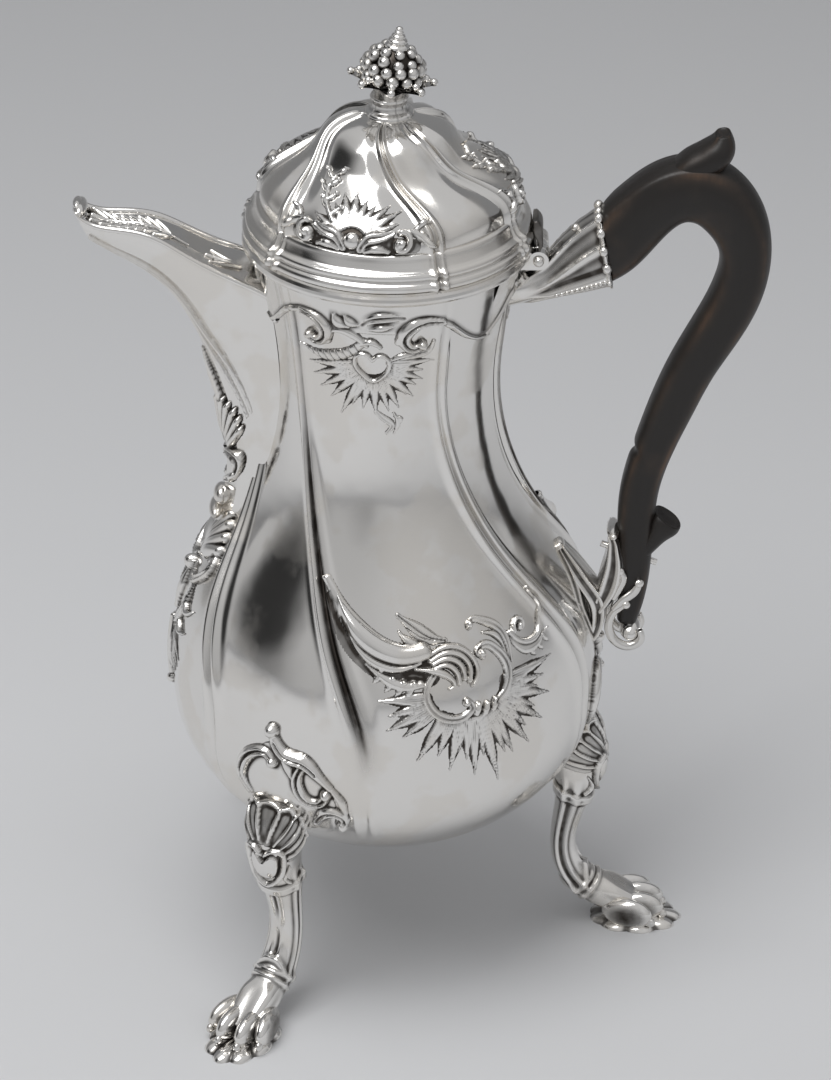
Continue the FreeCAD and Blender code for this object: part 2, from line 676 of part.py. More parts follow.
for corner in range(6):
    angle = math.radians(60 * corner)
    nut_points.append(FreeCAD.Vector(nut_radius * math.cos(angle), nut_radius * math.sin(angle),
                                     nut_seat - nut_thickness))
finial_nut = polygon_face(nut_points).extrude(up * nut_thickness).cut(screw_hole)

nodes = {
    "body_shell": body_shell,
    "rim_moulding": rim_moulding,
    "body_hinge_plate": body_hinge_plate,
    "hinge_pin": hinge_pin,
    "spout": spout,
    "spout_cover": spout_cover,
    "spout_edge_wires": spout_edge_wires,
    "spout_drop": spout_drop,
    "upper_socket": upper_socket,
    "upper_socket_pin": upper_socket_pin,
    "handle": handle,
    "lower_socket": lower_socket,
    "lower_socket_plate": lower_socket_plate,
    "lower_socket_pin": lower_pin,
    "lid_rim": lid_rim,
    "lid_bezel": lid_bezel,
    "lid_dome": lid_dome,
    "lid_hinge_plate": lid_hinge_plate,
    "finial_collar": finial_collar,
    "finial_leaves": finial_leaves,
    "finial_cluster": finial_cluster,
    "finial_screw": finial_screw,
    "finial_nut": finial_nut,
}
for side in leg_angles:
    nodes["leg_" + side] = legs[side]
    nodes["leg_plate_" + side] = leg_plates[side]

os.makedirs("parts", exist_ok=True)
for name, shape in nodes.items():
    shape.exportStep("parts/" + name + ".step")
    box = shape.BoundBox
    print(name, len(shape.Solids), shape.isValid(), round(shape.Volume), "x %.1f %.1f" % (box.XMin, box.XMax),
          "y %.1f %.1f" % (box.YMin, box.YMax), "z %.1f %.1f" % (box.ZMin, box.ZMax))
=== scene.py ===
# %% [markdown]
# # A silver coffee pot
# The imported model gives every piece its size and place. This lesson dresses it: raised and chased silver,
# cast feet, a dark wooden handle, and plain soft studio light. Lengths below are millimetres, turned into
# Blender's metres at the last moment, because a pot is easier to think about in millimetres.

# %% Load the frame
import json
import math

import bpy
import numpy as np
from mathutils import Matrix, Vector


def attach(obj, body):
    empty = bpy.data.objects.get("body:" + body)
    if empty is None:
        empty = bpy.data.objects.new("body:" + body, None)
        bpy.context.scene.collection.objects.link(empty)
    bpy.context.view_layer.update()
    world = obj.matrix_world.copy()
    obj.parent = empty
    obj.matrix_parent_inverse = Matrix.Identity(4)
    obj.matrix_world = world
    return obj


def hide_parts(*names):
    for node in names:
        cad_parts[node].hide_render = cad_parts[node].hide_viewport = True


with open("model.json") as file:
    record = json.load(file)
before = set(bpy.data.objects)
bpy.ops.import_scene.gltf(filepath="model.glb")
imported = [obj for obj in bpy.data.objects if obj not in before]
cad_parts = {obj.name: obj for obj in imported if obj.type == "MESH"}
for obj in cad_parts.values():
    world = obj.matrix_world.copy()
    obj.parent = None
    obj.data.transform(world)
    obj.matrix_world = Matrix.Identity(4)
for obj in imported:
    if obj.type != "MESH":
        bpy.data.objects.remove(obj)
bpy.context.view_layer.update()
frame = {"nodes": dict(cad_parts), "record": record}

MM = 0.001
nodes = frame["nodes"]


# %% [markdown]
# ## Camera
# The photo looks down on the pot from its side. The viewing angle was found from three equal feet and the
# round rim, so the camera is placed by angle and distance round a point on the pot, with a long lens. It
# could be pointed by eye, but then every size read from the photo would be a guess.

# %% Camera
VIEW_ELEVATION, VIEW_AZIMUTH, VIEW_ROLL = 30.4, 1.1, 0.73
VIEW_DISTANCE = 1320.0
VIEW_TARGET = (9.2, 0.0, 139.2)
FOCAL_PIXELS, PHOTO_HEIGHT = 4280.0, 1080.0
SENSOR = 36.0


def photo_camera():
    tilt, turn, roll = (math.radians(x) for x in (VIEW_ELEVATION, VIEW_AZIMUTH, VIEW_ROLL))
    back = Vector((math.sin(turn) * math.cos(tilt), -math.cos(turn) * math.cos(tilt), math.sin(tilt)))
    right = Vector((math.cos(turn), math.sin(turn), 0))
    upward = back.cross(right)
    side = right * math.cos(roll) + upward * math.sin(roll)
    top = upward * math.cos(roll) - right * math.sin(roll)
    lens = bpy.data.cameras.new("photo_camera")
    lens.sensor_width = SENSOR
    lens.lens = FOCAL_PIXELS * SENSOR / PHOTO_HEIGHT
    lens.clip_end = 20
    camera = bpy.data.objects.new("photo_camera", lens)
    bpy.context.scene.collection.objects.link(camera)
    camera.matrix_world = Matrix((side, top, back)).transposed().to_4x4()
    camera.location = (Vector(VIEW_TARGET) + back * VIEW_DISTANCE) * MM
    bpy.context.scene.camera = camera
    return camera


print("camera:", [round(x, 3) for x in photo_camera().location])


# %% [markdown]
# ## Shader sums
# A material here is mostly sums on masks: `1 - wear`, or painted shade times its strength. One small class
# wraps a socket and lets Python's operators add the Math nodes, and one method adds any other node.

# %% Shader helpers
class Signal:
    """A value in a material: sums on it add Math nodes."""

    def __init__(self, finish, socket):
        self.finish, self.socket = finish, socket

    def maths(self, operation, *values):
        return self.finish.node("ShaderNodeMath", {"operation": operation}, *values)

    def __add__(self, other):
        return self.maths("ADD", self, other)

    def __sub__(self, other):
        return self.maths("SUBTRACT", self, other)

    def __rsub__(self, other):
        return self.maths("SUBTRACT", other, self)

    def __mul__(self, other):
        return self.maths("MULTIPLY", self, other)

    __radd__, __rmul__ = __add__, __mul__

    def between(self, low, high):
        """0 below low, 1 above high, and smooth between them."""
        return self.finish.node("ShaderNodeMapRange", {"interpolation_type": "SMOOTHSTEP"},
                                self, low, high, 0.0, 1.0)


class Finish:
    """The node tree of a material, or of the world, while it is being made."""

    def __init__(self, holder):
        self.holder = holder
        holder.use_nodes = True
        self.tree = holder.node_tree
        self.tree.nodes.clear()
        kind = "World" if isinstance(holder, bpy.types.World) else "Material"
        self.output = self.tree.nodes.new(f"ShaderNodeOutput{kind}")

    def set(self, socket, value):
        if isinstance(value, Signal):
            self.tree.links.new(value.socket, socket)
        else:
            socket.default_value = value

    def node(self, kind, settings, *values, out=0, **named):
        """Adds a node: its settings first, then its sockets by order or by name. Gives one output."""
        made = self.tree.nodes.new(kind)
        for key, value in settings.items():
            setattr(made, key, value)
        for index, value in enumerate(values):
            self.set(made.inputs[index], value)
        for key, value in named.items():
            self.set(made.inputs[key.replace("_", " ")], value)
        return Signal(self, made.outputs[out])

    def ramp(self, value, stops):
        """A colour ramp over a value: stops are places and colours."""
        made = self.node("ShaderNodeValToRGB", {}, value)
        elements = made.socket.node.color_ramp.elements
        while len(elements) < len(stops):
            elements.new(0.5)
        for element, (place, colour) in zip(elements, stops):
            element.position = place
            element.color = (*colour, 1)
        return made

    def mixed(self, under, over, share):
        """A colour laid over another by a share from 0 to 1; each is a signal or three numbers."""
        made = self.node("ShaderNodeMix", {"data_type": "RGBA"}, Factor=share, out=2)
        for index, colour in ((6, under), (7, over)):
            self.set(made.socket.node.inputs[index], colour if isinstance(colour, Signal) else (*colour, 1))
        return made

    def surface(self, shader):
        self.tree.links.new(shader.socket, self.output.inputs["Surface"])
        return self.holder


# %% [markdown]
# ## Silver
# Old silver is bright where hands and cloths rub it and dark brown in the chasing. The dark could be
# painted as an image, but a value that comes from the shape always fits it: the meshes below carry one per
# point, 0 on open faces and 1 in the deepest lines. It is partly the tarnish of old silver and partly
# painted shade in hollows and between parts, with painted dark reflections beside the body's ribs. It
# darkens the metal and takes its shine. Faint hammer marks from raising the body move the reflections a
# little, so a very low bump stays in.

# %% Silver finishes
SILVER = (0.87, 0.855, 0.83)
# the dark colour of the tarnish in the chasing and of painted shade
TARNISH_AND_SHADE = (0.055, 0.048, 0.042)
FILM = (0.80, 0.76, 0.70)
FILM_SCALE, FILM_EDGE, FILM_SHARE, FILM_HAZE = 46.0, (0.50, 0.57), 0.45, 0.10
SMEAR_SCALE = 210.0
HAMMER_SCALE, HAMMER_BUMP = 95.0, 0.00022


def silver(name, shine, hammer, tarnish_and_shade):
    """Burnished silver: shine is its roughness, hammer how wavy it is, and the last number how dark its
    tarnish and painted shade get.
    """
    finish = Finish(bpy.data.materials.new(name))
    place = finish.node("ShaderNodeTexCoord", {}, out=3)
    wear_tarnish_and_painted_shade = finish.node("ShaderNodeAttribute", {"attribute_name": "wear_tarnish_and_painted_shade"}, out=2)
    cloud = finish.node("ShaderNodeTexNoise", {}, Vector=place, Scale=FILM_SCALE, Detail=6.0)
    smear = finish.node("ShaderNodeTexNoise", {}, Vector=place, Scale=SMEAR_SCALE, Detail=5.0)
    waves = finish.node("ShaderNodeTexNoise", {}, Vector=place, Scale=HAMMER_SCALE, Detail=1.0)
    film = cloud.between(*FILM_EDGE)
    # tarnish and painted shade: the per-point value darkens the colour and roughens it
    dark = finish.node("ShaderNodeMath", {"operation": "MULTIPLY", "use_clamp": True},
                       wear_tarnish_and_painted_shade * tarnish_and_shade, 0.7 + 0.6 * smear)
    colour = finish.mixed(finish.mixed(SILVER, TARNISH_AND_SHADE, dark), FILM, film * FILM_SHARE * (1 - dark))
    bump = finish.node("ShaderNodeBump", {}, Strength=hammer, Distance=HAMMER_BUMP, Height=waves)
    shader = finish.node("ShaderNodeBsdfPrincipled", {}, Base_Color=colour, Metallic=1.0,
                         Roughness=shine + FILM_HAZE * film + 0.25 * dark, Normal=bump)
    return finish.surface(shader)


BODY_SILVER = silver("planished_silver", 0.13, 0.7, 1.0)
CAST_SILVER = silver("cast_silver", 0.13, 0.15, 1.0)
print("finishes:", BODY_SILVER.name, CAST_SILVER.name)


# %% [markdown]
# ## Ebonised wood
# The handle is fruitwood stained black and waxed. Where a hand rubs it, the brown shows through. The grain
# runs along the handle, so noise is stretched up and down, and it only just lifts the surface.

# %% Wood finish
WOOD_BLACK = (0.011, 0.0085, 0.007)
WOOD_DEEP = (0.03, 0.02, 0.014)
WOOD_BROWN = (0.11, 0.062, 0.036)
GRAIN_SCALE, GRAIN_STRETCH, PATCH_SCALE = 900.0, 0.12, 42.0


def ebonised_wood():
    finish = Finish(bpy.data.materials.new("ebonised_wood"))
    place = finish.node("ShaderNodeTexCoord", {}, out=3)
    along = finish.node("ShaderNodeMapping", {}, Vector=place, Scale=(1.0, 1.0, GRAIN_STRETCH))
    grain = finish.node("ShaderNodeTexNoise", {}, Vector=along, Scale=GRAIN_SCALE, Detail=6.0)
    patch = finish.node("ShaderNodeTexNoise", {}, Vector=place, Scale=PATCH_SCALE, Detail=3.0)
    rubbed = finish.node("ShaderNodeAttribute", {"attribute_name": "wear_tarnish_and_painted_shade"}, out=2)
    wear = rubbed * patch.between(0.35, 0.62) + 0.35 * patch.between(0.58, 0.78)
    shown = finish.node("ShaderNodeMath", {"operation": "MULTIPLY", "use_clamp": True}, wear, 0.7 + grain)
    colour = finish.ramp(shown, [(0.0, WOOD_BLACK), (0.35, WOOD_DEEP), (1.0, WOOD_BROWN)])
    bump = finish.node("ShaderNodeBump", {}, Strength=0.25, Distance=0.0002, Height=grain)
    shader = finish.node("ShaderNodeBsdfPrincipled", {}, Base_Color=colour, Normal=bump,
                         Roughness=0.30 + 0.2 * grain + 0.1 * shown)
    return finish.surface(shader)


SLOT_FINISH = {"silver": BODY_SILVER, "cast_silver": CAST_SILVER, "dark_wood": ebonised_wood()}
print("slots dressed:", sorted(SLOT_FINISH))


# %% [markdown]
# ## From formula to mesh
# Each piece is a grid of points worked out with numpy: rows along it and columns round it. A smooth curve
# through a few measured points gives outlines and paths. Dense grids cost little and take fine relief.

# %% Curves and grids
def ease(low, high, x):
    """0 at low, 1 at high, with a soft start and end; low may be the larger."""
    t = np.clip((np.asarray(x, float) - low) / (high - low), 0, 1)
    return t * t * (3 - 2 * t)


def bell(x, width):
    """A soft hump of height 1 at 0."""
    return np.exp(-(np.asarray(x, float) / width) ** 2)


def spline(places, values, start=None, end=None):
    """A smooth curve through values at places, as a function. Its ends run straight unless given a slope."""
    xs, ys = np.asarray(places, float), np.asarray(values, float)
    gaps, count = np.diff(xs), len(xs)
    left, right = np.zeros((count, count)), np.zeros(ys.shape)
    left[0, :2], right[0] = ((2, 1), 3 * (ys[1] - ys[0]) / gaps[0]) if start is None else ((1, 0), start)
    left[-1, -2:], right[-1] = ((1, 2), 3 * (ys[-1] - ys[-2]) / gaps[-1]) if end is None else ((0, 1), end)
    for i in range(1, count - 1):
        before, after = 1 / gaps[i - 1], 1 / gaps[i]
        left[i, i - 1:i + 2] = before, 2 * (before + after), after
        right[i] = 3 * ((ys[i] - ys[i - 1]) * before ** 2 + (ys[i + 1] - ys[i]) * after ** 2)
    slopes = np.linalg.solve(left, right)

    def at(x):
        x = np.asarray(x, float)
        i = np.clip(np.searchsorted(xs, x) - 1, 0, count - 2)
        shape = x.shape + (1,) * (ys.ndim - 1)
        t, gap = ((x - xs[i]) / gaps[i]).reshape(shape), gaps[i].reshape(shape)
        return ((2 * t ** 3 - 3 * t ** 2 + 1) * ys[i] + (t ** 3 - 2 * t ** 2 + t) * gap * slopes[i]
                + (3 * t ** 2 - 2 * t ** 3) * ys[i + 1] + (t ** 3 - t ** 2) * gap * slopes[i + 1])

    return at


def trace(points, step):
    """Points every step along a smooth line through the given ones, and each one's share of the way."""
    points = np.asarray(points, float)
    run = np.concatenate([[0], np.cumsum(np.linalg.norm(np.diff(points, axis=0), axis=1))])
    share = np.linspace(0, 1, max(int(run[-1] / step), 2) + 1)
    return spline(run, points)(share * run[-1]), share


def grid_quads(rows, columns, wrap=True, ring=False):
    """The faces of a grid of points, facing outwards where rows go up and columns go round the axis."""
    r, c = np.meshgrid(np.arange(rows if ring else rows - 1), np.arange(columns if wrap else columns - 1),
                       indexing="ij")
    above, beside = (r + 1) % rows, (c + 1) % columns
    corners = [r * columns + c, r * columns + beside, above * columns + beside, above * columns + c]
    return np.stack(corners, -1).reshape(-1, 4)


def piece(name, points, quads, body, slot, stands_for=(), caps=(), wear_tarnish_and_painted_shade=None):
    """A mesh from points in millimetres, riding on a body of the frame, in the finish of its slot."""
    points = np.asarray(points, float).reshape(-1, 3)
    loops = np.concatenate([np.ravel(quads)] + [np.asarray(cap) for cap in caps]).astype(np.int32)
    sizes = np.array([4] * len(quads) + [len(cap) for cap in caps], np.int32)
    mesh = bpy.data.meshes.new(name)
    mesh.vertices.add(len(points))
    mesh.vertices.foreach_set("co", (points * MM).astype(np.float32).ravel())
    mesh.loops.add(len(loops))
    mesh.loops.foreach_set("vertex_index", loops)
    mesh.polygons.add(len(sizes))
    mesh.polygons.foreach_set("loop_start", np.concatenate([[0], np.cumsum(sizes)[:-1]]).astype(np.int32))
    mesh.polygons.foreach_set("use_smooth", np.ones(len(sizes), bool))
    # one value per point: tarnish and painted shade on silver, wear on the wood
    if wear_tarnish_and_painted_shade is not None:
        shade = mesh.attributes.new("wear_tarnish_and_painted_shade", "FLOAT", "POINT")
        shade.data.foreach_set("value", np.clip(wear_tarnish_and_painted_shade, 0, 1).astype(np.float32).ravel())
    mesh.update(calc_edges=True)
    mesh.validate()
    made = bpy.data.objects.new(name, mesh)
    bpy.context.scene.collection.objects.link(made)
    mesh.materials.append(SLOT_FINISH[slot])
    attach(made, body)
    if stands_for:
        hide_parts(*stands_for)
    print(name, len(points), "points,", len(sizes), "faces")
    return made


# %% [markdown]
# ## Body
# The body is raised from sheet into a pear and then chased into six swirling panels, three wide and three
# narrow, with a double rib between them. A lathe would give the pear without its swirl. Here a turned
# outline gives the radius, the ribs are added in an angle that swirls with height, and the columns crowd
# together on the ribs, where the shape changes fastest.

# %% Body outline and ribs
BELLY_Z, BELLY_R, BELLY_DEPTH = 91.5, 66.0, 49.5
BASE_Z, MOUTH_Z, BODY_WALL = 44.0, 241.0, 1.2
NECK_OUTLINE = [(BELLY_Z, BELLY_R), (132.0, 57.7), (150.0, 46.2), (166.0, 38.8), (197.0, 33.8), (225.0, 36.4),
                (MOUTH_Z, 39.8)]
neck_curve = spline([z for z, r in NECK_OUTLINE], [r for z, r in NECK_OUTLINE], start=0.0, end=0.22)
LEG_ANGLES = {"rear": 0.0, "left": -120.0, "right": 120.0}
PANEL_HALF, PANEL_LEAD, SWIRL = 23.5, 3.0, 42.0
RIBS = np.array([leg + PANEL_LEAD + side * PANEL_HALF for leg in LEG_ANGLES.values() for side in (-1, 1)])
# the last number is the strength of the painted dark reflection beside the ribs
RIB_RISE, RIB_FOOT, RIB_CREST, RIB_GROOVE, RIB_PAINTED_REFLECTION = 1.35, 7.0, 2.4, 1.1, 1.2


def body_radius(z):
    z = np.asarray(z, float)
    bowl = BELLY_R * np.sqrt(np.clip(1 - ((BELLY_Z - z) / BELLY_DEPTH) ** 2, 0.0005, 1))
    return np.where(z < BELLY_Z, bowl, neck_curve(np.clip(z, BELLY_Z, MOUTH_Z + 2)))


def swirl(z):
    return -SWIRL * ease(96, 212, z)


def off_rib(angle, ribs):
    """Degrees from the nearest rib, with a sign."""
    away = (np.asarray(angle, float)[..., None] - ribs + 180) % 360 - 180
    return np.take_along_axis(away, np.abs(away).argmin(-1)[..., None], -1)[..., 0]


def rib_lift(away):
    """A double rib across its width: two crests with a groove between, on a soft foot."""
    crest = bell(np.abs(away) - RIB_CREST, 1.5) + 0.55 * ease(RIB_FOOT, RIB_CREST, np.abs(away))
    return RIB_RISE * (crest - 0.75 * bell(away, RIB_GROOVE))


def rib_fade(z):
    """The share of a rib's height that is left: none at the base, a quarter on the belly, little above."""
    low = (0.25 + 0.75 * ease(84, 122, z)) * ease(50, 66, z)
    return low * (1 - 0.5 * ease(160, 205, z)) * (1 - 0.7 * ease(214, 234, z))


def body_skin(angle, z):
    """Points of the body's outer face at angles in degrees and heights."""
    angle, z = np.broadcast_arrays(np.asarray(angle, float), np.asarray(z, float))
    radius = body_radius(z) + rib_lift(off_rib(angle - swirl(z), RIBS)) * rib_fade(z)
    turn = np.radians(angle)
    return np.stack([radius * np.cos(turn), radius * np.sin(turn), z], -1)


# %% Body mesh
def crowded_angles(ribs, near, far):
    """Angles round the pot, close together on the ribs and wide apart between them."""
    even = np.arange(0, 360, 0.05)
    density = near + (far - near) * ease(5.0, 11.0, np.abs(off_rib(even, ribs)))
    total = np.concatenate([[0], np.cumsum(0.05 / density)])
    count = int(total[-1])
    return np.interp(np.arange(count) * total[-1] / count, total, np.append(even, 360.0))


def make_body():
    flow = crowded_angles(RIBS, 0.42, 1.7)
    dive = np.linspace(math.acos((BELLY_Z - BASE_Z) / BELLY_DEPTH), math.pi / 2, 60)
    heights = np.concatenate([BELLY_Z - BELLY_DEPTH * np.cos(dive), np.linspace(BELLY_Z, MOUTH_Z, 150)[1:]])
    outer = body_skin(flow[None, :] + swirl(heights)[:, None], heights[:, None])
    floor = np.linspace(0.08, 0.95, 6)[:, None, None] * outer[0] * (1, 1, 0) + (0, 0, BASE_Z)
    outer = np.concatenate([floor, outer])
    inside = np.linspace(BASE_Z + 3, MOUTH_Z, 44)[::-1]
    turn = np.radians(flow)
    ring = np.maximum(body_radius(inside) - BODY_WALL, 8)[:, None]
    inner = np.stack([ring * np.cos(turn), ring * np.sin(turn), np.repeat(inside[:, None], len(flow), 1)], -1)
    points = np.concatenate([outer, inner])
    count = len(flow)
    first, last = np.arange(count)[::-1], (len(points) - 1) * count + np.arange(count)
    # painted dark reflection beside three of the six ribs, and painted shade in the groove of each rib; it
    # fades out low on the belly and thins on the neck
    rib_shade_and_reflection = RIB_PAINTED_REFLECTION * bell(off_rib(flow, RIBS[1::2]) - 0.7, 1.9) + 0.4 * bell(off_rib(flow, RIBS), 0.9)
    kept = ease(90, 122, heights) * (1 - 0.5 * ease(172, 200, heights))
    kept = np.concatenate([np.zeros(len(floor)), kept, np.zeros(len(inside))])
    return piece("body", points, grid_quads(len(points), count), "pot", "silver", ["body_shell"],
                 caps=[first, last], wear_tarnish_and_painted_shade=rib_shade_and_reflection * kept[:, None])


make_body()


# %% [markdown]
# ## Chased relief
# Scrolls, leaves and rays are punched up from the sheet, so they are drawn as strokes on a height map over
# a patch of the skin: a stroke is a line with a width and a height, and a carved line takes height away.
# Only the raised part becomes a mesh, with its edge just under the skin. What lies lower than its
# surroundings is darkened, partly as the tarnish that stays there and partly as painted shade.

# %% Relief on a skin
SUNK, THINNEST, RELIEF_GAIN = -0.3, 0.35, 1.4


def mirrored(side, points, middle=0.0):
    """The points of a right-hand line, on one side of a middle line."""
    return [(side * x + middle, y) for x, y in points]


def softened(height, reach):
    """A height map blurred over a square of cells."""
    for axis in (0, 1):
        padded = np.concatenate([np.repeat(np.take(height, [0], axis), reach + 1, axis), height,
                                 np.repeat(np.take(height, [-1], axis), reach, axis)], axis)
        total = np.cumsum(padded, axis)
        count = height.shape[axis]
        high = np.take(total, np.arange(2 * reach + 1, 2 * reach + 1 + count), axis)
        height = (high - np.take(total, np.arange(count), axis)) / (2 * reach + 1)
    return height


class Relief:
    """A height map in millimetres, across and up a patch of skin."""

    # the last number scales the painted shade and tarnish of this relief
    def __init__(self, left, right, low, high, step=0.3, bold=1.0, tarnish_and_shade=1.0):
        self.across = np.arange(left, right + step, step)
        self.up = np.arange(low, high + step, step)
        self.step, self.bold, self.tarnish_and_shade = step, bold, tarnish_and_shade
        self.height = np.full((len(self.up), len(self.across)), SUNK)

    def stamp(self, field, place, width, rise, power):
        """Raises a round spot in a field of heights."""
        columns = slice(*np.searchsorted(self.across, (place[0] - width, place[0] + width)))
        rows = slice(*np.searchsorted(self.up, (place[1] - width, place[1] + width)))
        away = ((self.across[columns] - place[0]) ** 2 + (self.up[rows, None] - place[1]) ** 2) / width ** 2
        spot = rise * np.clip(1 - away, 0, 1) ** power
        field[rows, columns] = np.maximum(field[rows, columns], np.where(away < 1, spot, SUNK))

    def stroke(self, points, width, rise, ends=(0.35, 0.35), power=0.6):
        """A rounded ridge along a smooth line, narrowed to a share of its width at each end."""
        line, share = trace(points, self.step)
        swell = np.where(share < 0.5, ends[0] + (1 - ends[0]) * ease(0, 0.5, share),
                         ends[1] + (1 - ends[1]) * ease(1, 0.5, share))
        for place, size in zip(line, swell):
            half = max(width * self.bold * size, THINNEST) / 2 + 0.1
            self.stamp(self.height, place, half, rise * size ** 0.5, power)
        return self

    def carve(self, points, width, depth):
        """A groove along a smooth line."""
        cut = np.zeros_like(self.height)
        for place in trace(points, self.step)[0]:
            self.stamp(cut, place, width / 2, depth, 1.0)
        self.height = np.where(self.height > SUNK, np.maximum(self.height - cut, 0.02), self.height)
        return self

    def channel(self, points, width, rise, ends=(0.5, 0.5)):
        """A scroll band: a ridge with a hollow along its middle."""
        return self.stroke(points, width, rise, ends).carve(points, width * 0.5, rise * 0.5)

    def bead(self, place, radius, rise):
        self.stamp(self.height, place, radius, rise, 0.5)
        return self

    def curl(self, centre, radius, start, turns, width, rise):
        """A spiral end, wound in from its radius to a bead; start is in degrees, turns has a sign."""
        way = np.linspace(0, 1, 14)
        angle = np.radians(start + 360 * turns * way)
        reach = radius * (1 - 0.85 * way)
        points = [(centre[0] + r * math.cos(a), centre[1] + r * math.sin(a)) for r, a in zip(reach, angle)]
        self.stroke(points, width, rise, (0.9, 0.6))
        return self.bead(centre, width * 0.75, rise * 1.15)

    def ray(self, root, tip, width, rise):
        """A flame of five lines, the longest in the middle, on a low ground."""
        root, tip = np.asarray(root, float), np.asarray(tip, float)
        way = tip - root
        side = np.array([-way[1], way[0]]) / np.linalg.norm(way)
        self.stroke([root, root + way * 0.5, root + way * 0.97], width * 2.8, 0.12, (1.0, 0.2), 0.3)
        for shift, share in ((0, 1.0), (-0.55, 0.82), (0.55, 0.88), (-1.1, 0.58), (1.1, 0.64)):
            foot = root + side * shift * width
            end = root + way * share + side * shift * width * 0.7
            self.stroke([foot, (foot + end) / 2, end], width * 0.5, rise, (0.9, 0.2))
        return self

    def burst(self, centre, oval, tips, width, rise):
        """Rays from an oval round a centre out to each tip."""
        for tip in tips:
            way = np.array(tip) - centre
            self.ray(centre + way / np.linalg.norm(way) * oval, tip, width, rise)
        return self

    def shade(self):
        """How deep each place lies below its surroundings, and how low its edge is, from 0 to 1: tarnish and
        painted shade.
        """
        top = np.maximum(self.height, 0)
        hollow = softened(top, 4) - top
        edge = 0.8 * ease(0.45, 0.05, self.height)
        return np.clip(4.5 * hollow + edge, 0, 1) * self.tarnish_and_shade

    def make(self, name, skin, radius, centre, body, slot, stands_for=()):
        """Lays the map on a skin round an angle and makes the raised part."""
        angle = centre + np.degrees(self.across[None, :] / radius(self.up)[:, None])
        rise = np.broadcast_to(self.up[:, None], angle.shape)
        middle = skin(angle, rise)
        tangent = skin(angle + 0.1, rise) - skin(angle - 0.1, rise)
        upward = skin(angle, rise + 0.1) - skin(angle, rise - 0.1)
        normal = np.cross(tangent, upward)
        normal /= np.linalg.norm(normal, axis=-1, keepdims=True)
        lift = np.where(self.height > 0, self.height * RELIEF_GAIN, self.height)
        points = (middle + normal * lift[..., None]).reshape(-1, 3)
        quads = grid_quads(*angle.shape, wrap=False)
        flat = self.height.ravel()
        quads = quads[(flat[quads] > SUNK + 0.05).any(1)]
        used, quads = np.unique(quads, return_inverse=True)
        return piece(name, points[used], quads.reshape(-1, 4), body, slot, stands_for,
                     wear_tarnish_and_painted_shade=self.shade().ravel()[used])


# %% [markdown]
# ## Neck chasing
# Under the rim runs a plain collar with a wavy lower edge. On each wide panel the edge curls into two
# scrolls, and between them hang a small heart-shaped shield with a fan of rays, and a leafy tail. The
# pattern repeats three times round the neck, so it is drawn once and laid on three times.

# %% Neck chasing
NECK_CENTRE = -96.0
NECK_WAVE = [(-38.5, 222.6), (-33.5, 226.4), (-28.0, 231.8), (-21.5, 234.6), (-16.2, 233.6), (-13.2, 230.0),
             (-13.0, 225.6)]
NECK_WAVE_RIGHT = [(38.5, 222.6), (33.0, 223.6), (27.5, 227.6), (22.2, 232.8), (17.2, 235.0), (12.6, 234.4),
                   (9.2, 231.0), (8.0, 227.4)]
NECK_HOOK = [(-21.5, 234.4), (-16.6, 233.4), (-13.8, 230.0), (-14.4, 226.4), (-17.2, 224.8), (-19.2, 226.4)]
NECK_HOOK_RIGHT = [(20.6, 233.8), (14.8, 234.2), (10.6, 231.2), (9.8, 227.6), (12.2, 225.0), (15.0, 226.2)]
HEART = [(0.4, 220.6), (-2.0, 222.8), (-4.4, 221.6), (-4.6, 218.4), (-2.2, 215.2), (0.6, 213.4), (3.4, 215.2),
         (5.2, 218.2), (4.8, 221.2), (2.6, 222.4), (0.4, 220.6)]
NECK_SHIELD, NECK_OVAL = (0.3, 219.5), (6.0, 5.6)
NECK_RAY_TIPS = [(-20.0, 216.0), (-18.6, 212.0), (-16.2, 208.2), (-12.6, 205.6), (-9.3, 200.8), (-5.8, 204.4),
                 (-2.6, 203.4), (1.2, 201.6), (5.0, 203.0), (8.0, 204.0), (10.0, 208.6), (12.2, 207.6),
                 (13.0, 211.6), (15.0, 213.4), (15.2, 216.6), (18.4, 219.8)]


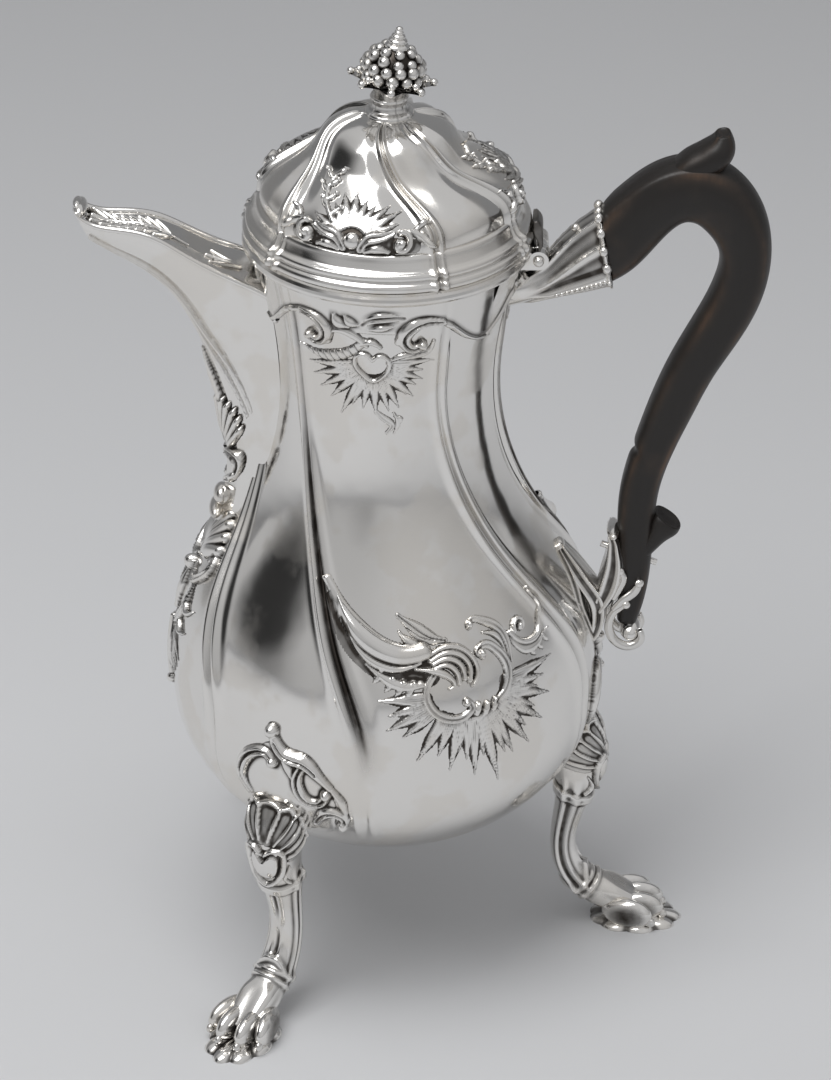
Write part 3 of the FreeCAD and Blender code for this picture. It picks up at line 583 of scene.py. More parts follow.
def neck_chasing():
    relief = Relief(-40, 40, 192, 240.5, bold=1.15)
    edge = np.array(NECK_WAVE[:4] + [(-13.0, 230.0), (8.0, 230.0)] + NECK_WAVE_RIGHT[:5][::-1])
    wave = np.interp(relief.across, edge[:, 0], edge[:, 1])
    relief.height = np.where(relief.up[:, None] > wave + 0.4, 0.5, relief.height)
    relief.burst(NECK_SHIELD, NECK_OVAL, NECK_RAY_TIPS, 0.95, 0.5)
    for line in (NECK_WAVE, NECK_WAVE_RIGHT):
        relief.stroke(line, 1.9, 1.2, (0.7, 1.0))
    for hook in (NECK_HOOK, NECK_HOOK_RIGHT):
        relief.stroke(hook, 4.2, 1.9, (0.6, 0.6)).carve(hook, 1.3, 0.9)
        relief.bead(hook[-1], 1.6, 2.0)
    relief.stroke([(-10.8, 236.4), (-9.4, 233.6), (-6.4, 232.4)], 3.4, 1.6)
    relief.stroke([(-7.4, 236.4), (-5.8, 234.2), (-3.4, 233.4)], 2.8, 1.5)
    relief.channel([(-2.2, 233.4), (1.0, 236.0), (5.4, 236.8), (10.0, 236.2)], 3.4, 1.5)
    relief.stroke([(-0.4, 232.0), (3.4, 232.8), (7.0, 233.6)], 2.2, 1.3)
    wing = [(-23.0, 221.4), (-16.5, 219.8), (-10.0, 221.0), (-5.8, 223.2), (-2.0, 227.0)]
    relief.stroke(wing, 3.4, 0.8, (0.2, 0.7))
    barbs = trace(wing, 0.3)[0]
    for share in np.linspace(0.12, 0.85, 9):
        at = barbs[int(share * len(barbs))]
        relief.carve([at + (-0.9, 1.4), at + (0.1, 0.1), at + (0.9, -1.5)], 0.5, 0.35)
    relief.stroke([(-12.4, 229.2), (-8.6, 230.4), (-4.4, 228.8), (-1.2, 225.4)], 2.4, 1.1, (0.5, 0.4))
    relief.stroke(HEART, 1.1, 0.9, (0.9, 0.9))
    relief.stroke([(-3.0, 226.2), (0.4, 227.2), (2.8, 225.4)], 1.8, 1.1, (0.6, 0.6))
    relief.stroke([(5.0, 219.6), (8.0, 221.6), (13.0, 222.4), (17.2, 223.6), (18.6, 226.6)], 2.4, 0.8,
                  (0.5, 0.4))
    relief.carve([(6.0, 220.4), (11.0, 222.2), (16.4, 223.4)], 0.6, 0.4)
    relief.channel([(1.4, 202.6), (4.0, 200.2), (6.0, 198.2), (4.6, 195.6)], 1.9, 0.7, (0.6, 0.5))
    relief.stroke([(6.4, 202.4), (7.8, 198.8), (6.6, 195.4)], 1.3, 0.7)
    relief.stroke([(6.6, 201.0), (8.6, 200.2), (8.2, 198.4)], 1.0, 0.6)
    return relief


neck = neck_chasing()
for number in range(3):
    angle = NECK_CENTRE + 120 * number
    neck.make(f"neck_chasing_{number + 1}", body_skin, body_radius, angle, "pot", "silver")


# %% [markdown]
# ## Belly cartouche
# Low on each wide panel the right-hand crest of the rib swells into a horn. It ends in a ribbed shell over
# a shield framed by C-scrolls, and a sunburst of flames fans out below. One stands on each side of the pot:
# the third place is taken by the drop under the spout. Sculpting would do it too, but strokes can be read,
# changed and laid on twice.

# %% Belly cartouches
BELLY_CENTRE = -60.0
BELLY_RAY_TIPS = [(-33.0, 120.0), (-30.4, 115.4), (-31.4, 110.8), (-26.6, 108.6), (-22.6, 100.4),
                  (-18.8, 104.6), (-16.2, 101.4), (-12.6, 95.8), (-9.6, 101.8), (-7.2, 98.6), (-4.4, 92.4),
                  (-1.4, 98.6), (1.2, 95.4), (3.8, 88.2), (6.0, 97.6), (9.0, 96.6), (15.2, 97.6),
                  (14.0, 103.8), (21.0, 103.4), (17.8, 108.8), (24.6, 110.6), (19.6, 114.6), (22.8, 117.0),
                  (27.4, 121.2)]
BELLY_SHIELD, BELLY_OVAL = (-5.5, 120.5), (13.0, 8.6)


def belly_horn(relief):
    """The swelling crest on a low ground that carries painted shade, two rolls under it and a fringe of small
    leaves.
    """
    horn = [(-39.6, 151.5), (-37.4, 143.6), (-33.8, 137.8), (-28.6, 134.2), (-22.6, 132.8), (-16.8, 133.4)]
    shade_ground = [(-40.0, 146.0), (-35.6, 135.4), (-27.0, 129.4), (-17.0, 127.6)]
    # a low ground under the horn, there to carry painted shade
    relief.stroke(shade_ground, 9.0, 0.12, (0.4, 0.8), 0.2)
    relief.stroke(horn, 6.4, 2.5, (0.25, 0.7))
    relief.stroke([(-38.4, 141.0), (-35.4, 133.6), (-29.6, 129.8), (-23.4, 129.2), (-18.4, 130.4)], 2.6, 1.5)
    relief.stroke([(-36.0, 135.0), (-31.0, 130.6), (-25.0, 128.6)], 1.4, 1.2)
    relief.stroke([(-34.6, 130.4), (-29.4, 126.2), (-24.6, 124.2), (-19.4, 124.4)], 3.0, 1.1, (0.2, 0.6))
    for at in ((-31.0, 127.6), (-28.0, 125.2), (-25.0, 124.0), (-22.0, 123.6)):
        relief.stroke([at, np.add(at, (-2.6, -2.4))], 1.5, 0.8, (0.8, 0.2))
        relief.bead(np.add(at, (0.6, 1.4)), 0.9, 1.3)


def belly_shell(relief):
    """The leaf above the horn's end, and the ribbed shell that bends over the shield."""
    leaf = [(-21.4, 142.6), (-18.0, 139.6), (-14.2, 136.8), (-9.4, 135.4)]
    relief.stroke(leaf, 4.2, 1.0, (0.3, 0.3))
    relief.stroke([(-22.4, 138.6), (-20.6, 136.2), (-16.0, 135.0)], 2.6, 1.1, (0.3, 0.5))
    relief.carve(leaf, 0.7, 0.6)
    relief.carve([(-19.6, 139.4), (-16.6, 137.0), (-13.0, 135.8)], 0.6, 0.5)
    fan = [[(-16.2, 131.6), (-10.6, 133.7), (-5.4, 132.7), (-2.2, 129.0), (-1.7, 125.2), (-3.6, 122.2)],
           [(-15.4, 130.6), (-10.0, 132.2), (-5.6, 130.6), (-3.8, 127.2), (-4.6, 123.6)],
           [(-14.8, 129.6), (-9.8, 130.6), (-6.6, 128.4), (-6.0, 124.4)],
           [(-14.2, 128.6), (-10.4, 128.8), (-8.2, 126.6), (-7.8, 123.4)]]
    for rib in fan:
        relief.stroke(rib, 1.7, 1.5, (0.6, 0.8))
    relief.stroke([(-20.0, 128.8), (-14.2, 127.6), (-10.6, 125.6), (-9.4, 123.2), (-11.0, 122.2)], 2.2, 1.5)


def belly_frame(relief):
    """The C-scrolls round the shield, three studs between them, and a third scroll above."""
    left = [(-15.4, 126.4), (-18.2, 122.4), (-17.8, 117.8), (-15.0, 114.4), (-11.0, 112.8), (-6.8, 113.4),
            (-4.7, 115.7), (-6.2, 117.8)]
    right = [(3.4, 115.4), (6.9, 117.8), (8.7, 121.4), (8.4, 126.2), (5.7, 130.2), (2.1, 132.0),
             (-0.2, 130.6), (1.2, 129.2)]
    above = [(10.5, 125.6), (10.4, 130.8), (8.0, 135.4), (4.0, 138.0), (-0.2, 138.8), (-1.4, 137.4)]
    relief.channel(left, 2.5, 1.3, (0.6, 0.7))
    relief.bead((-6.4, 117.2), 1.2, 1.6)
    for at in ((-3.0, 114.6), (-0.2, 114.2), (2.7, 114.8)):
        relief.stroke([np.add(at, (-0.5, -1.3)), np.add(at, (0.5, 1.3))], 1.9, 1.3, (0.8, 0.8))
    relief.channel(right, 2.5, 1.3, (0.6, 0.7))
    relief.bead((0.9, 130.0), 1.3, 1.7)
    relief.channel(above, 2.3, 1.3)
    relief.bead((-0.9, 138.0), 1.2, 1.5)
    relief.stroke([(9.0, 129.6), (6.8, 133.6), (2.8, 135.2)], 1.5, 1.0)


def belly_twig(relief):
    """The curl and the leafy twig on the right."""
    twig = [(12.0, 132.8), (14.6, 130.0), (19.2, 128.3), (23.3, 129.4), (24.6, 134.2), (23.6, 141.0)]
    relief.stroke(twig, 1.7, 1.0, (0.8, 0.3))
    relief.curl((16.1, 133.4), 2.5, 200, -1.1, 1.2, 1.3)
    relief.stroke([(11.8, 131.0), (16.6, 126.8), (20.6, 126.4), (27.6, 129.0)], 2.6, 0.8, (0.4, 0.2))
    for at in ((15.0, 127.8), (18.4, 126.2), (22.0, 126.6), (25.0, 127.8)):
        relief.stroke([at, np.add(at, (2.2, -2.6))], 1.3, 0.7, (0.8, 0.2))


def belly_cartouche():
    relief = Relief(-42, 31, 86, 152, bold=1.15)
    relief.burst(BELLY_SHIELD, BELLY_OVAL, BELLY_RAY_TIPS, 1.25, 0.65)
    for draw in (belly_horn, belly_shell, belly_frame, belly_twig):
        draw(relief)
    return relief


belly = belly_cartouche()
for number, angle in enumerate((BELLY_CENTRE, BELLY_CENTRE + 120)):
    belly.make(f"belly_cartouche_{number + 1}", body_skin, body_radius, angle, "pot", "silver")


# %% [markdown]
# ## Lid
# The lid is raised like the body: a low cushion draws in to a bell, and the ribs of the neck go on over it,
# swirling the same way up to the finial. Heights on it are measured along its outline, so relief can be
# laid on it just as on the body. Between the ribs the panels swell a little.

# %% Lid dome
DOME = [(38.0, 255.6), (38.0, 259.2), (31.4, 266.2), (22.8, 272.2), (17.8, 279.2), (6.6, 283.7)]
DOME_WALL = 1.0
LID_TURN, LID_SWIRL, LID_RIB_RISE, LOBE = -SWIRL - 5.0, -34.0, 0.9, 0.9
LID_RIBS = RIBS + LID_TURN
dome_run = np.concatenate([[0], np.cumsum(np.linalg.norm(np.diff(DOME, axis=0), axis=1))])
dome_curve = spline(dome_run, DOME, start=(0.0, 1.0), end=(-0.97, 0.24))
DOME_LENGTH = dome_run[-1]


def lid_radius(way):
    return dome_curve(way)[..., 0]


def lid_swirl(way):
    return LID_SWIRL * ease(4, DOME_LENGTH, way)


def lid_skin(angle, way):
    """Points of the lid's outer face at angles in degrees and lengths up its outline."""
    angle, way = np.broadcast_arrays(np.asarray(angle, float), np.asarray(way, float))
    place = dome_curve(way)
    slope = dome_curve(way + 0.05) - dome_curve(way - 0.05)
    slope /= np.linalg.norm(slope, axis=-1, keepdims=True)
    away = off_rib(angle - lid_swirl(way), LID_RIBS)
    fade = 1 - ease(DOME_LENGTH - 5, DOME_LENGTH, way)
    lobe = LOBE * (ease(5.0, 20.0, np.abs(away)) - 0.6)
    lift = (LID_RIB_RISE / RIB_RISE * rib_lift(away) + lobe * ease(0, 5, way)) * fade
    radius = place[..., 0] + lift * slope[..., 1]
    turn = np.radians(angle)
    return np.stack([radius * np.cos(turn), radius * np.sin(turn), place[..., 1] - lift * slope[..., 0]], -1)


def make_lid():
    flow = crowded_angles(LID_RIBS, 0.5, 1.6)
    ways = np.linspace(0, DOME_LENGTH, 110)
    outer = lid_skin(flow[None, :] + lid_swirl(ways)[:, None], ways[:, None])
    place = dome_curve(ways[::-4]) - (DOME_WALL, DOME_WALL)
    turn = np.radians(flow)
    inner = np.stack([place[:, :1] * np.cos(turn), place[:, :1] * np.sin(turn),
                      np.repeat(place[:, 1:], len(flow), 1)], -1)
    points = np.concatenate([outer, inner])
    # painted shade along the groove of each rib on the lid
    painted_crease_shade = 0.55 * bell(off_rib(flow, LID_RIBS), 0.9)
    return piece("lid_shell", points, grid_quads(len(points), len(flow), ring=True), "lid", "silver",
                 ["lid_dome"], wear_tarnish_and_painted_shade=np.repeat(painted_crease_shade[None, :], len(points), 0))


make_lid()


# %% [markdown]
# ## Lid mouldings
# The edge of the lid is drawn wire, soldered on in steps. It could be a stack of rings, but one turned
# outline keeps the hollows between the steps clean, and the tarnish and painted shade can find them. Where
# a rib comes down, the moulding is pinched into a small knot, with painted shade at its pinch.

# %% Lid mouldings
LID_STEPS = [(36.8, 245.8), (42.6, 245.8), (43.2, 246.3), (43.3, 247.2), (42.9, 248.0), (42.2, 248.5),
             (41.9, 249.0), (42.3, 249.6), (42.4, 250.4), (42.0, 251.1), (41.1, 251.5), (40.4, 252.2),
             (39.9, 253.3), (39.5, 254.3), (39.3, 255.2), (38.9, 255.9), (37.2, 256.4), (36.6, 255.4)]
KNOT_RISE = 0.8


def turned_ring(name, outline, body, slot, stands_for, knots, rise, flow):
    """A moulding turned from an outline, with a small knot where each rib crosses it."""
    outline = np.asarray(outline, float)
    line = np.concatenate([np.linspace(a, b, 3)[:-1] for a, b in zip(outline, np.roll(outline, -1, axis=0))])
    away = off_rib(flow, knots)
    knot = rise * (bell(np.abs(away) - 2.2, 1.2) - 0.9 * bell(away, 0.8))
    outside = ease(outline[:, 0].max() - 7, outline[:, 0].max() - 2, line[:, 0])[:, None]
    radius = line[:, :1] + knot * outside
    turn = np.radians(flow)
    height = np.repeat(line[:, 1:], len(flow), 1)
    points = np.stack([radius * np.cos(turn), radius * np.sin(turn), height], -1)
    # painted shade in the hollows between the steps, and on the outer steps at each rib's angle
    hollow = np.clip(softened(line[:, :1], 2) - line[:, :1], 0, 1) * 1.6
    shade = np.clip(hollow + 0.6 * bell(away, 0.7) * outside, 0, 1)
    quads = grid_quads(len(line), len(flow), ring=True)
    return piece(name, points, quads, body, slot, stands_for, wear_tarnish_and_painted_shade=shade)


turned_ring("lid_mouldings", LID_STEPS, "lid", "silver", ["lid_rim"], LID_RIBS, KNOT_RISE,
            crowded_angles(LID_RIBS, 0.4, 2.0))


# %% [markdown]
# ## Lid chasing
# On each wide panel of the lid a small sunburst stands over a row of scrolls, and a leafy stem climbs
# beside it. The strokes are those of the neck. Drawing them once and laying them on three times keeps the
# panels alike.

# %% Lid chasing
LID_CENTRE, LID_MIDDLE = -106.0, 1.0


def lid_chasing():
    relief = Relief(-26, 26, 0.6, 26, bold=1.2)
    sun = np.array((LID_MIDDLE, 3.6))
    for angle in np.linspace(12, 168, 12):
        way = np.array([math.cos(math.radians(angle)), math.sin(math.radians(angle))])
        relief.ray(way * 4.6 + sun, way * (14.0 + 2.0 * math.sin(3 * angle)) + sun, 1.1, 0.6)
    relief.stroke([(-17.0, 3.0), (LID_MIDDLE, 3.4), (19.0, 3.0)], 5.4, 0.2, (0.7, 0.7), 0.2)
    relief.bead((LID_MIDDLE, 4.2), 2.4, 1.3)
    arm, low_leaf = [(2.6, 2.0), (4.6, 5.0), (8.2, 5.8), (11.4, 7.0)], [(4.0, 1.6), (7.4, 2.6), (10.6, 1.6)]
    tail, bud = [(14.6, 7.4), (18.4, 6.8), (21.6, 4.4), (24.4, 1.8)], [(17.6, 6.8), (19.2, 9.2), (22.0, 9.8)]
    for side in (-1, 1):
        relief.channel(mirrored(side, arm, LID_MIDDLE), 2.8, 1.5, (0.6, 0.5))
        relief.stroke(mirrored(side, low_leaf, LID_MIDDLE), 2.2, 1.3, (0.6, 0.4))
        relief.curl((LID_MIDDLE + side * 14.2, 4.2), 3.0, 100, -side * 1.1, 1.8, 1.7)
        relief.stroke(mirrored(side, tail, LID_MIDDLE), 2.0, 1.1, (0.7, 0.4))
        relief.stroke(mirrored(side, bud, LID_MIDDLE), 1.9, 0.8, (0.8, 0.2))
    stem = [(-5.4, 8.6), (-9.0, 13.2), (-10.2, 18.6), (-8.4, 23.4)]
    relief.stroke(stem, 1.3, 0.8, (0.9, 0.5))
    for number, place in enumerate(trace(stem, 2.2)[0][1:]):
        side = (-1) ** number
        relief.stroke([place, place + (1.5 * side, 1.2), place + (2.6 * side, 2.6)], 1.5, 0.8, (0.7, 0.4))
        relief.bead(place + (2.7 * side, 2.7), 0.85, 1.0)
    return relief


lid_relief = lid_chasing()
for number in range(3):
    angle = LID_CENTRE + 120 * number
    lid_relief.make(f"lid_chasing_{number + 1}", lid_skin, lid_radius, angle, "lid", "silver")


# %% [markdown]
# ## Leg frames
# Where a leg meets the belly, applied scrolls frame a plain piece of skin above it. They were cast and
# soldered on, so they stand higher than the chasing, but they follow the belly, and the same height map can
# draw them.

# %% Leg frames
def leg_frame():
    relief = Relief(-16, 27, 66, 109, bold=1.1)
    left = [(-8.2, 80.0), (-10.4, 85.6), (-9.2, 91.6), (-5.2, 96.2), (-0.6, 97.2), (1.6, 94.8)]
    right = [(12.6, 97.2), (10.0, 92.6), (10.4, 87.0), (13.2, 83.8), (16.8, 84.0), (18.8, 87.4)]
    low = [(13.2, 73.6), (16.0, 78.0), (20.2, 80.4), (23.2, 78.2), (22.0, 74.6)]
    for line, width in (([(0.4, 72), (0.6, 84), (2.4, 95)], 17), ([(12.0, 76), (12.4, 84), (12.0, 90)], 16)):
        relief.stroke(line, width, 0.5, (0.9, 0.7), 0.15)
    for line, width, rise in ((left, 4.0, 1.9), (right, 4.0, 2.0), (low, 3.6, 1.7)):
        relief.stroke(line, width, rise, (0.5, 0.7)).carve(line, width * 0.35, rise * 0.55)
        relief.bead(line[-1], 1.8, rise * 1.15)
    crest = [(0.8, 106.4), (2.4, 102.0), (6.0, 98.4), (11.8, 97.4), (15.6, 94.4), (20.2, 89.8)]
    relief.stroke(crest, 4.8, 2.1, (0.6, 0.4)).carve(crest[1:5], 1.1, 0.8)
    relief.bead((1.0, 105.4), 2.4, 2.4)
    relief.stroke([(3.4, 100.4), (6.6, 94.8), (8.4, 89.0)], 2.8, 1.5, (0.7, 0.2))
    relief.stroke([(20.4, 89.6), (23.4, 84.8), (24.2, 79.0)], 2.4, 1.4, (0.6, 0.4))
    return relief


frame_relief = leg_frame()
for name, angle in LEG_ANGLES.items():
    frame_relief.make(f"leg_frame_{name}", body_skin, body_radius, angle, "pot", "cast_silver",
                      [f"leg_plate_{name}"])


# %% [markdown]
# ## Spout drop
# Under the spout hangs a drop of shell, scrolls and leaf, cast in one piece and bent to the belly. It is
# the same left and right, so each line is drawn once and mirrored.

# %% Spout drop
DROP_EAR = [(3.0, 131.0), (8.4, 129.0), (13.8, 131.6), (16.4, 136.4), (14.0, 139.4), (12.0, 137.0)]
DROP_CHEEK = [(11.4, 129.0), (13.2, 122.0), (9.6, 115.0), (4.4, 112.6), (3.0, 115.6)]
DROP_LEAVES = [[(12.0, 124.0), (17.0, 121.0), (20.4, 123.4)], [(10.8, 117.6), (15.4, 113.6), (19.0, 114.8)]]
DROP_TAIL = [(1.4, 110.0), (4.4, 104.0), (3.4, 97.4), (0.8, 92.0)]


def spout_drop():
    relief = Relief(-24, 24, 84, 154)
    for angle in np.linspace(-62, 62, 9):
        way = np.array([math.sin(math.radians(angle)), math.cos(math.radians(angle))])
        relief.stroke([way * 3 + (0, 133), way * 9 + (0, 134), way * 15.5 + (0, 134)], 4.6, 1.9, (0.3, 0.8))
    for side in (-1, 1):
        relief.channel(mirrored(side, DROP_EAR), 2.8, 2.0)
        relief.channel(mirrored(side, DROP_CHEEK), 2.5, 1.7)
        for line in DROP_LEAVES:
            relief.stroke(mirrored(side, line), 2.2, 1.2, (0.7, 0.3))
        relief.stroke(mirrored(side, DROP_TAIL), 3.0, 1.4, (0.5, 0.3))
    for angle in np.linspace(-66, 66, 12):
        way = np.array([math.sin(math.radians(angle)), -math.cos(math.radians(angle))])
        relief.ray(way * 7 + (0, 112), way * 19 + (0, 112), 1.2, 0.6)
    relief.stroke([(0, 128), (0, 120), (0, 114)], 4.0, 1.5, (0.3, 0.5))
    relief.stroke([(0, 110), (0, 100), (0, 86.5)], 2.4, 1.7, (0.8, 0.5))
    relief.bead((0, 129.5), 2.4, 2.6)
    relief.bead((0, 87.5), 1.9, 2.0)
    return relief


spout_drop().make("spout_drop_relief", body_skin, body_radius, 180.0, "pot", "cast_silver", ["spout_drop"])


# %% [markdown]
# ## Bars along a line
# Handle, legs and sockets are bars that bend and swell. Each is a few stations: place, direction, half
# depth and half width. A smooth curve runs through them and a rounded section rides along it. A bar has a
# skin too, so leaves and flutes can be drawn on it as they are on the body.

# %% Bars
DOME_SHARES = (0.3, 0.6, 0.85, 1.0)


class Bar:
    """A bar along stations (x, z, direction, half depth, half width), turned about the pot's axis."""

    def __init__(self, stations, turn=0.0, corner=2.0, lift=None):
        stations = np.asarray(stations, float)
        run = np.concatenate([[0], np.cumsum(np.linalg.norm(np.diff(stations[:, :2], axis=0), axis=1))])
        self.length, self.curve = run[-1], spline(run, stations)
        self.turn, self.corner, self.lift = math.radians(turn), corner, lift

    def skin(self, angle, way):
        """Points at angles round the bar, 0 on its outer side, and lengths along it."""
        angle, way = np.broadcast_arrays(np.asarray(angle, float), np.asarray(way, float))
        x, z, heading, deep, wide = np.moveaxis(self.curve(way), -1, 0)
        extra = self.lift(angle, way) if self.lift else 0.0
        heading, turn = np.radians(heading), np.radians(angle)
        power = 2 / self.corner
        out = (deep + extra) * np.sign(np.cos(turn)) * np.abs(np.cos(turn)) ** power
        side = -(wide + extra) * np.sign(np.sin(turn)) * np.abs(np.sin(turn)) ** power
        x, z = x - np.sin(heading) * out, z + np.cos(heading) * out
        return np.stack([x * math.cos(self.turn) - side * math.sin(self.turn),
                         x * math.sin(self.turn) + side * math.cos(self.turn), z], -1)

    def girth(self, way):
        """The mean half thickness, which turns lengths across the bar into angles."""
        return self.curve(np.clip(way, 0, self.length))[..., 3:].mean(-1)

    def mesh(self, rows, columns):
        """Points and faces of the bar, closed by rounded ends, and where each point lies."""
        way = np.linspace(0, self.length, rows)
        angle = np.arange(columns) * 360 / columns
        points = self.skin(angle[None, :], way[:, None])
        caps = []
        for row, ahead in ((0, -1), (-1, 1)):
            middle = points[row].mean(0)
            spread = points[row] - middle
            heading = np.cross(spread[0], spread[columns // 4])
            push = -heading / np.linalg.norm(heading) * np.linalg.norm(spread, axis=1).min() * 0.35 * ahead
            caps.append(np.array([middle + spread * max(math.sqrt(1 - share * share), 0.01) + push * share
                                  for share in DOME_SHARES]))
        points = np.concatenate([caps[0][::-1], points, caps[1]])
        way = np.concatenate([[0] * len(caps[0]), way, [self.length] * len(caps[1])])
        return points, grid_quads(len(points), columns), np.meshgrid(way, angle, indexing="ij")


# %% Eggs and groups
def blob(centre, radii, turn=0.0, rows=14, columns=20):
    """An egg: points and faces."""
    rise = np.linspace(-math.pi / 2 + 0.02, math.pi / 2 - 0.02, rows)[:, None]
    round_angle = np.arange(columns) * 2 * math.pi / columns
    x, y = radii[0] * np.cos(rise) * np.cos(round_angle), radii[1] * np.cos(rise) * np.sin(round_angle)
    spin = math.radians(turn)
    points = np.stack([centre[0] + x * math.cos(spin) - y * math.sin(spin),
                       centre[1] + x * math.sin(spin) + y * math.cos(spin),
                       np.broadcast_to(centre[2] + radii[2] * np.sin(rise), x.shape)], -1)
    return points.reshape(-1, 3), grid_quads(rows, columns)


def joined(shapes):
    """Several shapes of points and faces as one."""
    points, quads, count = [], [], 0
    for some, faces in shapes:
        some = np.asarray(some).reshape(-1, 3)
        points.append(some)
        quads.append(faces + count)
        count += len(some)
    return np.concatenate(points), np.concatenate(quads)


def eggs(places):
    """Several eggs as one shape, from centres and radii."""
    return joined([blob(centre, radii) for centre, radii in places])


def turned(points, angle):
    """Points turned about the pot's axis."""
    turn = math.radians(angle)
    x, y, z = np.moveaxis(np.asarray(points, float), -1, 0)
    return np.stack([x * math.cos(turn) - y * math.sin(turn), x * math.sin(turn) + y * math.cos(turn), z], -1)


# %% [markdown]
# ## Legs
# Three cast legs: a shell opens on the belly, a heart-shaped shield hangs from it, a fluted shank comes out
# of a collar, and the leg ends in a lion's paw. A leg could be sculpted, but a bar with a few stations
# keeps all three alike and easy to change. The rings and flutes swell the bar itself. The shell and the
# shield are drawn on its outer side.

# %% Legs
LEG = [(61.4, 80, -88, 2.4, 5.0), (64.0, 72.5, -96, 4.4, 8.2), (61.8, 62, -104, 8.0, 7.2),
       (60.9, 52, -108, 6.6, 6.2), (58.8, 39, -102, 4.6, 4.7), (57.9, 28, -86, 4.2, 4.4),
       (60.6, 19.2, -58, 4.6, 4.8), (66, 13.2, -38, 5.0, 5.4), (73.5, 9.4, -18, 5.4, 6.4),
       (80, 7.0, -12, 4.0, 5.4), (85.5, 5.0, -8, 2.6, 4.0)]
COLLAR_WAY, ANKLE_WAY = 32.0, 66.0


def leg_lift(angle, way):
    """Collar, corded edges, slot, ankle ring and tendons, as heights round and along the leg."""
    side = np.abs((angle + 180) % 360 - 180)
    on, off = ease(COLLAR_WAY - 2.2, COLLAR_WAY - 1.2, way), ease(COLLAR_WAY + 2.4, COLLAR_WAY + 1.4, way)
    collar = 1.1 * on * off
    shank = ease(34, 37, way) * ease(65, 60, way)
    cord = 1.0 * (bell(side - 84, 8) + bell(side - 116, 8)) * ease(24, 33, way) * ease(74, 66, way)
    slot = -1.1 * bell(side, 9) * shank * (1 - 0.95 * bell(way - 49, 5))
    past = way - ANKLE_WAY
    cap = past + 2.2 * np.cos(np.radians(2 * angle))
    ankle = 0.9 * bell(cap, 1.3) + 0.8 * bell(past - 5.0, 0.9) + 0.4 * bell(past - 2.4, 0.8)
    foot = ease(72, 80, way) * ease(94, 88, way) * ease(100, 70, side)
    tendons = 0.4 * np.cos(np.radians(4 * angle + 180)) * foot
    return collar + cord + slot + ankle + tendons


# %% Leg shell
HEART_EDGE = np.array([(0.2, 17.4), (2.6, 14.8), (5.4, 15.6), (6.3, 19.6), (5.0, 24.0), (2.4, 27.0),
                       (0.3, 28.6)])


def leg_relief():
    relief = Relief(-19, 19, 0.5, 36, 0.28)
    ribs = np.linspace(-88, 88, 10)
    centre = np.array((0.0, 18.5))
    ways = [np.array([math.sin(math.radians(angle)), -math.cos(math.radians(angle))]) for angle in ribs]
    tips = [centre + way * (15.6 + 1.2 * ease(30, 88, abs(angle))) for way, angle in zip(ways, ribs)]
    for way, tip in zip(ways, tips):
        relief.stroke([centre + way * 6, (centre + way * 6 + tip) / 2, tip], 6.0, 0.3, (0.5, 1.0), 0.2)
    for way, tip in zip(ways, tips):
        relief.stroke([centre + way * 6, (centre + way * 6 + tip) / 2, tip], 1.1, 1.0, (0.5, 0.9))
    for left, right in zip(tips, tips[1:]):
        middle = (left + right) / 2
        relief.stroke([left, middle + (middle - centre) * 0.09, right], 1.5, 1.3, (0.8, 0.8))
        relief.bead(left, 0.9, 1.5)
    relief.bead((0, 20.6), 5.4, 1.3)
    for side in (-1, 1):
        relief.stroke(HEART_EDGE * (side, 1), 1.7, 1.5, (0.7, 0.7))
        relief.carve((HEART_EDGE * 0.75 + (0, 5.4)) * (side, 1), 1.0, 1.2)
        relief.stroke([(side * 8.2, 22.5), (side * 5.8, 26.4), (side * 7.0, 29.0)], 1.4, 1.1, (0.4, 0.8))
    relief.carve([(0, 15.2), (0, 18.2)], 1.0, 0.8)
    return relief


# %% [markdown]
# ## Paws
# Each paw has four long toes with claws and stands on a small fluted shell. The toes are eggs, which is all
# that shows of them at this size. Their sides are painted with shade, so that each one reads by itself.

# %% Paws and legs
TOES = [(82.6, 3.0, 3.0), (82.6, -3.0, -3.0), (79.0, 7.0, 14.0), (79.0, -7.0, -14.0)]
TOE_RADII, TOE_RISE, CLAW_RADII, CLAW_REACH, CLAW_RISE = (8.4, 3.2, 5.2), 5.6, (1.6, 1.2, 1.6), 7.9, 3.4
FOOT_PLATE, FOOT_LENGTH, FOOT_WIDTH, FOOT_RISE = 81.4, 15.2, 10.4, 2.3


